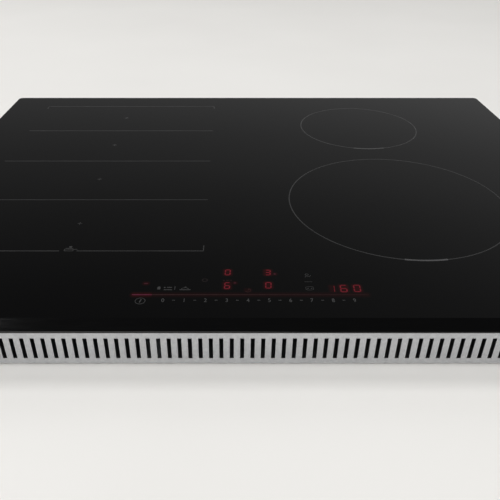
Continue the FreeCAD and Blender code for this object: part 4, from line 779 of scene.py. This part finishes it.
def thread(x, y, z0, z1, root, crest, pitch, count=24):
    """A closed threaded rod: a V profile that climbs one pitch in each turn."""
    levels = 2 * int((z1 - z0) / pitch - 1)
    vertices = []
    index = {}
    for i, (a, b) in enumerate(circle(0, 0, 1, count)):
        for k in range(levels + 1 if i else levels + 3):
            radius = crest if k % 2 else root
            index[i, k] = len(vertices)
            vertices.append((x + radius * a, y + radius * b, z0 + pitch * (k / 2 + i / count)))
    for k in range(levels + 1):
        index[count, k] = index[0, k + 2]
    faces = [(index[i, k], index[i + 1, k], index[i + 1, k + 1], index[i, k + 1])
             for i in range(count) for k in range(levels)]
    for k in (0, levels):
        rim = [index[i, k] for i in range(count + 1)] + [index[0, k + 1]]
        faces += [(rim[n - 1], rim[n], len(vertices)) for n in range(len(rim))]
        vertices.append((x, y, z0 + pitch * (k + 1) / 2))
    return vertices, faces


def clamp_screw(corner, material):
    """A cross-slotted head below, a threaded shank and a spring clip at its top."""
    node = "clamp_screw_" + corner
    low, high = box(node)
    x, y, _ = (low + high) / 2
    ear_bottom, ear_top = (point.z for point in box("clamp_brackets"))
    head = (high.x - low.x) / 2
    crest, root, pitch = 2.5, 2.08, 0.8
    slot_half, slot_reach, slot_top = 0.5, 2.6, low.z + 1.2
    head_top = ear_bottom - 0.05
    edge, fine, lap, skim = 0.6, 0.3, 0.1, 0.02
    rim = slot_reach + lap
    section = [(rim, low.z), (head - edge, low.z), (head, low.z + edge), (head, head_top - fine),
               (head - fine, head_top), (rim, head_top)]
    parts = [revolved(x, y, section, 40),
             disc(x, y, rim + lap, 40, (slot_top, head_top - skim)),
             thread(x, y, ear_bottom - pitch, high.z - 0.5, root, crest, pitch),
             disc(x, y, root, 24, (high.z - 3 * pitch, high.z)),
             arc_band(x, y, 2.85, 1.5, 30, 330, 32, (ear_top + 0.1, ear_top + 1.1))]
    start = math.asin(slot_half / rim)
    for turn, tip in zip((0, QUARTER, 2 * QUARTER, 3 * QUARTER),
                         ((1, 1), (-1, 1), (-1, -1), (1, -1))):
        wedge = [(x + slot_half * tip[0], y + slot_half * tip[1])]
        wedge += arc_points(x, y, rim + lap, turn + start, turn + QUARTER - start, 8)
        parts.append(slab(wedge, (low.z + skim, slot_top + skim)))
    piece("threaded_screw_" + corner, [parts], [material], body=node,
          replaced=(node,))


# ---- components on the boards ----


def solids_of(node):
    """The corner points of each separate solid in a CAD node, ordered by place."""
    mesh = NODES[node].data
    owner = {}

    def root(key):
        while owner[key] != key:
            key = owner[key]
        return key

    for face in mesh.polygons:
        corners = [tuple(round(c, 6) for c in mesh.vertices[v].co) for v in face.vertices]
        for corner in corners:
            owner.setdefault(corner, corner)
            owner[root(corner)] = root(corners[0])
    solids = {}
    for key in owner:
        solids.setdefault(root(key), []).append(Vector(key) / MM)
    return sorted(solids.values(), key=lambda points: min((p.x, p.y) for p in points))


BLOCK_CORNERS = 8


def family_of(points):
    """Which kind of component a plain solid stands for, by its form and size."""
    low, high = extent(points)
    width, depth, height = high - low
    if len(points) > BLOCK_CORNERS:
        reach = [(p - (low + high) / 2).xy.length for p in points]
        return "chokes" if min(reach) < 0.8 * max(reach) else "electrolytics"
    if height < 8:
        return "lead_terminals" if height >= 5 else "transistors"
    if width > 40:
        return "fuse_holder"
    if width > 29 and depth > 30:
        return "transformer"
    return "relays" if width < 20 else "film_capacitors"


def transistor(low, high):
    """A flat moulded package with a metal tab along one end."""
    tab = soft_block(Vector((low.x, high.y - 4, low.z)), Vector((high.x, high.y, low.z + 1.4)),
                     0.8, 0.2)
    return [soft_block(low, high - Vector((0, 3, 0)), 0.8, 0.4)], [tab]


def film_capacitor(low, high):
    """A potted box: a moulded shell with a raised rim round its lid and a recessed middle."""
    rim, recess = 1.4, 0.8
    levels = soft_levels(low.z, high.z, 0.7) + [(rim, high.z), (rim, high.z - recess)]
    return ([stacked(lambda inset: rounded_outline(low, high, 2, inset), levels)],)


def choke(low, high):
    """A powder core wound with one layer of enamelled wire."""
    x, y, _ = (low + high) / 2
    outer = (high.x - low.x) / 2
    inner = 0.45 * outer
    wire = 0.75
    section = Vector((inner, low.z)), Vector((outer, high.z))
    loop = rounded_outline(*section, 2.6, wire, 3)
    windings = []
    for a, b in circle(0, 0, 1, int(TURN * (inner + wire) / (2.15 * wire))):
        path = [Vector((x + a * r, y + b * r, z)) for r, z in loop]
        windings.append(closed_tube(path, Vector((-b, a, 0)), wire, 6))
    return [revolved(x, y, rounded_outline(*section, 2.4, 2 * wire), 40)], windings


def electrolytic(low, high):
    """A sleeved aluminium can: a rolled groove near its foot and a scored vent on top."""
    x, y, _ = (low + high) / 2
    radius = (high.x - low.x) / 2
    unit = radius / 12
    foot = ((0.6, 0), (0, 0.6), (0, 3.0), (0.8, 3.8), (0.8, 4.4), (0, 5.2))
    crimp = ((0, 1.6), (0.3, 0.6), (0.9, 0.1), (1.6, 0.1), (1.9, 0.6))
    levels = [(inset * unit, low.z + rise * unit) for inset, rise in foot]
    levels += [(inset * unit, high.z - drop * unit) for inset, drop in crimp]
    top = (high.z - 1.4 * unit, high.z - 0.3 * unit)
    score = (top[1], high.z - 0.15 * unit)
    reach, stroke = 0.62 * radius, 0.6 * unit
    return ([stacked(lambda inset: circle(x, y, radius - inset, 48), levels)],
            [disc(x, y, 0.82 * radius, 48, top), bar(x - reach, y, x + reach, y, stroke, score),
             bar(x, y - reach, x, y + reach, stroke, score)])


def relay(low, high):
    """A sealed case on a wider base, with a small vent nib on its lid."""
    case = soft_block(low + Vector((0.5, 0.5, 1.5)), high - Vector((0.5, 0.5, 0.6)), 1.6, 0.6)
    nib = disc(high.x - 4, high.y - 4, 1.2, 20, (high.z - 0.8, high.z))
    return ([base_block(low, high, 2, 1.2, 0.3), case, nib],)


def transformer(low, high):
    """A taped winding inside a pair of ferrite E-cores, on a pinned base."""
    leg, half_depth = 4, 9
    x, y, _ = (low + high) / 2
    half = (high.x - low.x) / 2
    legs = [(low.x + leg / 2, leg / 2, low.z + 2), (high.x - leg / 2, leg / 2, low.z + 2),
            (x, half - leg / 2, high.z - leg)]
    core = [block_at(place, y, half_x, half_depth, (z, high.z), 0.6, 0.4)
            for place, half_x, z in legs]
    winding = soft_block(low + Vector((leg + 0.6, 2, 2.5)),
                         high - Vector((leg + 0.6, 2, leg + 0.5)), 6, 1.2)
    return core, [winding], [base_block(low, high, 3)]


def lead_terminal(low, high):
    """A nylon base with two push-on tabs for a pair of leads."""
    x, y, _ = (low + high) / 2
    tabs = [block_at(x, y + step, 2.8, 0.4, (low.z + 2, high.z - 0.1), 0.3, 0.15)
            for step in (-5, 5)]
    return [base_block(low, high, 3)], tabs


def fuse_holder(low, high):
    """A ceramic fuse with metal end caps, gripped by two spring clips on a base."""
    y = (low.y + high.y) / 2
    axis_z = high.z - 3.2
    cap = 7
    left, right = low.x + 6, high.x - 6
    metal = [rod(left, left + cap, y, axis_z, 2.8), rod(right - cap, right, y, axis_z, 2.8)]
    metal += [block_at(x, y + step, 2.2, 0.3, (low.z + 2, high.z - 0.6), 0.25, 0.15)
              for x in (left + cap / 2, right - cap / 2) for step in (-3.2, 3.2)]
    return [rod(left + cap, right - cap, y, axis_z, 2.5)], metal, [base_block(low, high, 2.4)]


def component_kinds(finishes):
    """How each kind of component is built, and the materials it is built from."""
    steel = finishes["coil_springs"]
    black = finishes["power_components"]
    blue_case = moulded_plastic("capacitor_case", (0.055, 0.12, 0.22), 0.35)
    core = fired_ceramic("powder_core", (0.30, 0.33, 0.05), (0.22, 0.25, 0.03))
    sleeve = moulded_plastic("can_sleeve", (0.012, 0.02, 0.05), 0.3)
    orange_case = moulded_plastic("relay_case", (0.46, 0.13, 0.03), 0.38)
    tape = moulded_plastic("winding_tape", (0.62, 0.42, 0.04), 0.3)
    nylon = moulded_plastic("white_nylon", (0.66, 0.65, 0.60))
    return {
        "transistors": (transistor, [black, steel]),
        "film_capacitors": (film_capacitor, [blue_case]),
        "chokes": (choke, [core, finishes["flex_windings"]]),
        "electrolytics": (electrolytic, [sleeve, finishes["coil_deck"]]),
        "relays": (relay, [orange_case]),
        "transformer": (transformer, [finishes["ferrite_bars"], tape, black]),
        "lead_terminals": (lead_terminal, [nylon, finishes["terminal_screws"]]),
        "fuse_holder": (fuse_holder, [finishes["temperature_sensors"], steel, black]),
    }


def dress_components(node, side, kinds):
    """Detailed pieces in place of a node's plain components, one piece for each kind."""
    families = {}
    for points in solids_of(node):
        families.setdefault(family_of(points), []).append(extent(points))
    for family, boxes in families.items():
        build, materials = kinds[family]
        groups = [sum(lists, []) for lists in zip(*(build(low, high) for low, high in boxes))]
        piece(family + "_" + side, groups, materials, replaced=(node,))


# Length, width and height of chips and chip resistors.
SMALL_PARTS = ((3.2, 1.6, 0.9), (2.0, 1.25, 0.7), (4.6, 2.6, 1.6), (6.2, 5.0, 1.8),
               (9.9, 6.0, 2.0))
SMALL_COUNT = 70
CLEARANCE = 3
BOARD_EDGE, SINK_FRONT = 8, 40


def small_parts(side, seed, materials):
    """Chips and chip resistors scattered over a power board where nothing else stands."""
    board_low, board_high = box("power_board_" + side)
    sink_low, sink_high = box("heat_sink_" + side)
    z = board_high.z
    taken = [extent(points) for points in solids_of("power_components_" + side)]
    taken.append((sink_low, sink_high))
    dice = random.Random(seed)
    bodies, feet = [], []
    while len(bodies) < SMALL_COUNT:
        length, width, height = dice.choice(SMALL_PARTS)
        if dice.random() < 0.5:
            length, width = width, length
        x = dice.uniform(board_low.x + BOARD_EDGE, board_high.x - BOARD_EDGE)
        y = dice.uniform(sink_low.y - SINK_FRONT, sink_high.y)
        half = Vector((length / 2, width / 2, 0))
        spot = Vector((x, y, z))
        if any(x + half.x + CLEARANCE >= low.x and x - half.x - CLEARANCE <= high.x
               and y + half.y + CLEARANCE >= low.y and y - half.y - CLEARANCE <= high.y
               for low, high in taken):
            continue
        low, high = spot - half, spot + half + Vector((0, 0, height))
        taken.append((low, high))
        bodies.append(soft_block(low, high, 0.2, 0.12))
        along = Vector((half.x, 0) if length > width else (0, half.y))
        foot = 0.9 * half.xy - 0.75 * along
        feet += [block_at(x + sign * along.x, y + sign * along.y, *foot, (z, z + 0.35), 0.1, 0.05)
                 for sign in (-1, 1)]
    piece("small_parts_" + side, [bodies, feet], materials)


# ---- camera, light and floor ----

CAMERA_PLACE = Vector((-24.6, -579.6, GLASS_TOP + 265.3)) * MM
CAMERA_TILT = 32.09  # degrees below level
ORIGIN = (0.0, 0.0, 0.0)
WHITE = (1.0, 1.0, 1.0)
# Name, place, aim, size, power and colour of each.
SOFTBOXES = (("overhead", (0.0, -0.25, 3.0), (0.0, 0.2, 0.0), (2.6, 0.9), 26.0, WHITE),
             ("key", (-0.9, -1.9, 2.4), ORIGIN, (2.2, 1.6), 8.0, (1.0, 0.985, 0.96)),
             ("fill", (2.1, -1.2, 1.7), ORIGIN, (1.6, 1.6), 8.0, (0.96, 0.98, 1.0)),
             ("back", (-1.9, 0.9, 1.7), ORIGIN, (1.4, 1.4), 12.0, WHITE))
# How bright the sky is at heights from 0 at the horizon to 1 straight up.
SKY = ((0.0, 0.50), (0.18, 0.44), (0.28, 0.182), (0.30, 0.173), (0.36, 0.143), (0.41, 0.130),
       (0.46, 0.108), (0.51, 0.093), (0.56, 0.077), (0.75, 0.053), (1.0, 0.072))
SIDE_LIMIT = 0.45  # how far to either side the sky goes on changing
FLOOR_HALF = 40.0


def set_camera():
    camera = bpy.data.cameras.new("camera")
    camera.sensor_width = 36.0
    camera.lens = 42.14
    camera.shift_x = 0.038
    camera.clip_start = 0.01
    camera.clip_end = 50.0
    holder = linked("camera", camera)
    holder.location = CAMERA_PLACE
    holder.rotation_euler = (math.radians(90.0 - CAMERA_TILT), 0.0, 0.0)
    bpy.context.scene.camera = holder


def light(kind, name, place, aim, power, color, **settings):
    """A lamp at a place that shines towards its aim."""
    lamp = bpy.data.lights.new(name, kind)
    lamp.energy = power
    lamp.color = color
    for key, value in settings.items():
        setattr(lamp, key, value)
    holder = linked(name, lamp)
    holder.location = place
    holder.rotation_euler = (Vector(aim) - Vector(place)).to_track_quat("-Z", "Y").to_euler()


def set_world():
    """A dim studio, pale near the floor.

    Above it the right is brighter than the left, and overhead the left is brighter.
    """
    world = bpy.data.worlds.new("studio")
    bpy.context.scene.world = world
    wiring = Wiring(world, "Generated")
    x, _, z = wiring.axes()
    sky = wiring.add("ValToRGB", {0: z})
    ramp = sky.node.color_ramp
    while len(ramp.elements) < len(SKY):
        ramp.elements.new(0.5)
    for element, (position, value) in zip(ramp.elements, SKY):
        element.position = position
        element.color = (value, value, value, 1.0)
    aside = wiring.add("Clamp", {"Value": x, "Min": -SIDE_LIMIT, "Max": SIDE_LIMIT})
    slope = wiring.ramp(z, 0.62, 0.9, 0.76, -0.7)
    sideways = wiring.maths("MULTIPLY", aside, wiring.ramp(z, 0.18, 0.29))
    lean = wiring.add("Math", {0: slope, 1: sideways, 2: 1.0}, operation="MULTIPLY_ADD")
    wiring.fill(wiring.tree.nodes["Background"], {"Color": sky, "Strength": lean})


def set_stage():
    """A pale floor out to the horizon, wide even light from afar, and four softboxes."""
    mesh = bpy.data.meshes.new("floor")
    mesh.from_pydata([(FLOOR_HALF * a, FLOOR_HALF * b, CAD_BOX[0].z)
                      for a, b in ((-1, -1), (1, -1), (1, 1), (-1, 1))], [], [(0, 1, 2, 3)])
    mesh.materials.append(studio_floor())
    linked("floor", mesh)
    light("SUN", "wide", (-0.3, -0.75, 0.9), ORIGIN, 2.3, (1.0, 0.99, 0.975),
          angle=math.radians(50.0))
    for name, place, aim, (width, depth), power, color in SOFTBOXES:
        light("AREA", name, place, aim, power, color, shape="RECTANGLE", size=width,
              size_y=depth)
    bpy.context.scene.view_settings.view_transform = "Standard"


# ---- finishes of the carried-over nodes ----


def node_finishes():
    """The material of every CAD node that stays, by node name or the start of it."""
    kinds = {
        "glass_plate": black_glass(),
        "zone_print": enamel("print_line", 0.04),
        "control_print": enamel("print_mark", 0.1),
        "seal_gasket": foam_rubber("foam_seal", (0.035, 0.035, 0.037), 700.0, 0.00012),
        "bonding_silicone": foam_rubber("silicone", (0.05, 0.05, 0.05), 300.0, 0.00005),
        "side_rails cross_rails bottom_tray clamp_brackets": galvanised(),
        "tray_screws clamp_screw": stained_metal(
            "zinc_plate", (0.55, 0.55, 0.52), (0.74, 0.74, 0.71), 700.0, 0.18, 0.36, 0.06),
        "clamp_nut terminal_screws": stained_metal(
            "brass", (0.50, 0.34, 0.13), (0.80, 0.60, 0.28), 500.0, 0.2, 0.42, 0.05),
        "clamp_claw deck_posts coil_springs touch_springs":
            brushed_metal("spring_steel", (0.55, 0.55, 0.56), (0.38, 0.38, 0.39)),
        "rating_plate": brushed_metal("plate", (0.75, 0.75, 0.76), (0.66, 0.66, 0.67)),
        "coil_deck": brushed_metal("deck_aluminium", (0.72, 0.73, 0.75), (0.58, 0.59, 0.60)),
        "heat_sink": brushed_metal("sink_aluminium", (0.66, 0.67, 0.69), (0.48, 0.49, 0.51),
                                   (260.0, 4.0, 260.0)),
        "flex_windings front_winding rear_winding": litz_copper(),
        "flex_carriers round_carriers terminal_block cable_clamp":
            moulded_plastic("pale_plastic", (0.62, 0.61, 0.57)),
        "ferrite_bars": fired_ceramic("ferrite", (0.085, 0.085, 0.09), (0.045, 0.045, 0.05)),
        "mica_sheets": mica_sheet(),
        "temperature_sensors": fired_ceramic("steatite", (0.80, 0.79, 0.74), (0.68, 0.67, 0.62)),
        "coil_leads": foam_rubber("lead_sleeve", (0.42, 0.06, 0.035), 1600.0, 0.00003),
        "board_trays fan_housing terminal_box terminal_cover control_carrier":
            moulded_plastic("black_plastic", (0.028, 0.028, 0.030)),
        "power_board filter_board control_board": circuit_board(),
        "power_components": moulded_plastic("component_case", (0.05, 0.05, 0.055), 0.4),
        "filter_components": moulded_plastic("filter_case", (0.50, 0.34, 0.05), 0.4),
        "fan_impeller": moulded_plastic("impeller_plastic", (0.045, 0.045, 0.05), 0.45),
        "cable_bushing": foam_rubber("bushing_rubber", (0.022, 0.022, 0.022), 1800.0, 0.00003),
        "display_modules": moulded_plastic("display_case", (0.03, 0.03, 0.032), 0.25),
        "ribbon_cable": moulded_plastic("ribbon", (0.42, 0.43, 0.45), 0.35),
    }
    return {name: material for names, material in kinds.items() for name in names.split()}


def finish_nodes():
    finishes = node_finishes()
    for name, holder in NODES.items():
        key = next(k for k in sorted(finishes, key=len, reverse=True) if name.startswith(k))
        holder.data.materials.clear()
        holder.data.materials.append(finishes[key])
    return finishes


# ---- the scene ----

set_camera()
set_world()
set_stage()
FINISHES = finish_nodes()
hob_glass(black_glass("lit_glass", lit_spots()), ground_glass_edge())
# the zone lines carry a painted sheen: their tone is painted 1.75 times as light at the rear as at
# the front
zone_marks(enamel("zone_line", 0.031, 1.75), enamel("zone_accent", 0.063))
control_numbers(enamel("number_print", 0.049))
piece("control_marks", [power_key() + column_keys() + row_keys()], [enamel("mark_print", 0.034)],
      replaced=("control_print",))
lit_marks(glowing("lit_red", (1.0, 0.115, 0.165), 0.138),
          glowing("lit_dot", (1.0, 0.33, 0.45), 0.042),
          glowing("lit_dim", (1.0, 0.5, 0.5), 0.023),
          glowing("lit_faint", (1.0, 0.8, 0.82), 0.018),
          glowing("slider_bright", (1.0, 0.22, 0.42), 0.100),
          glowing("slider_dim", (1.0, 0.55, 0.55), 0.020, left_gain=1.9))

for corner in ("right_rear", "right_front", "left_front", "left_rear"):
    clamp_screw(corner, FINISHES["clamp_screw"])
KINDS = component_kinds(FINISHES)
for side, seed in (("left", 11), ("right", 12)):
    dress_components("power_components_" + side, side, KINDS)
    small_parts(side, seed, [FINISHES["power_components"], FINISHES["tray_screws"]])
dress_components("filter_components", "filter", KINDS)
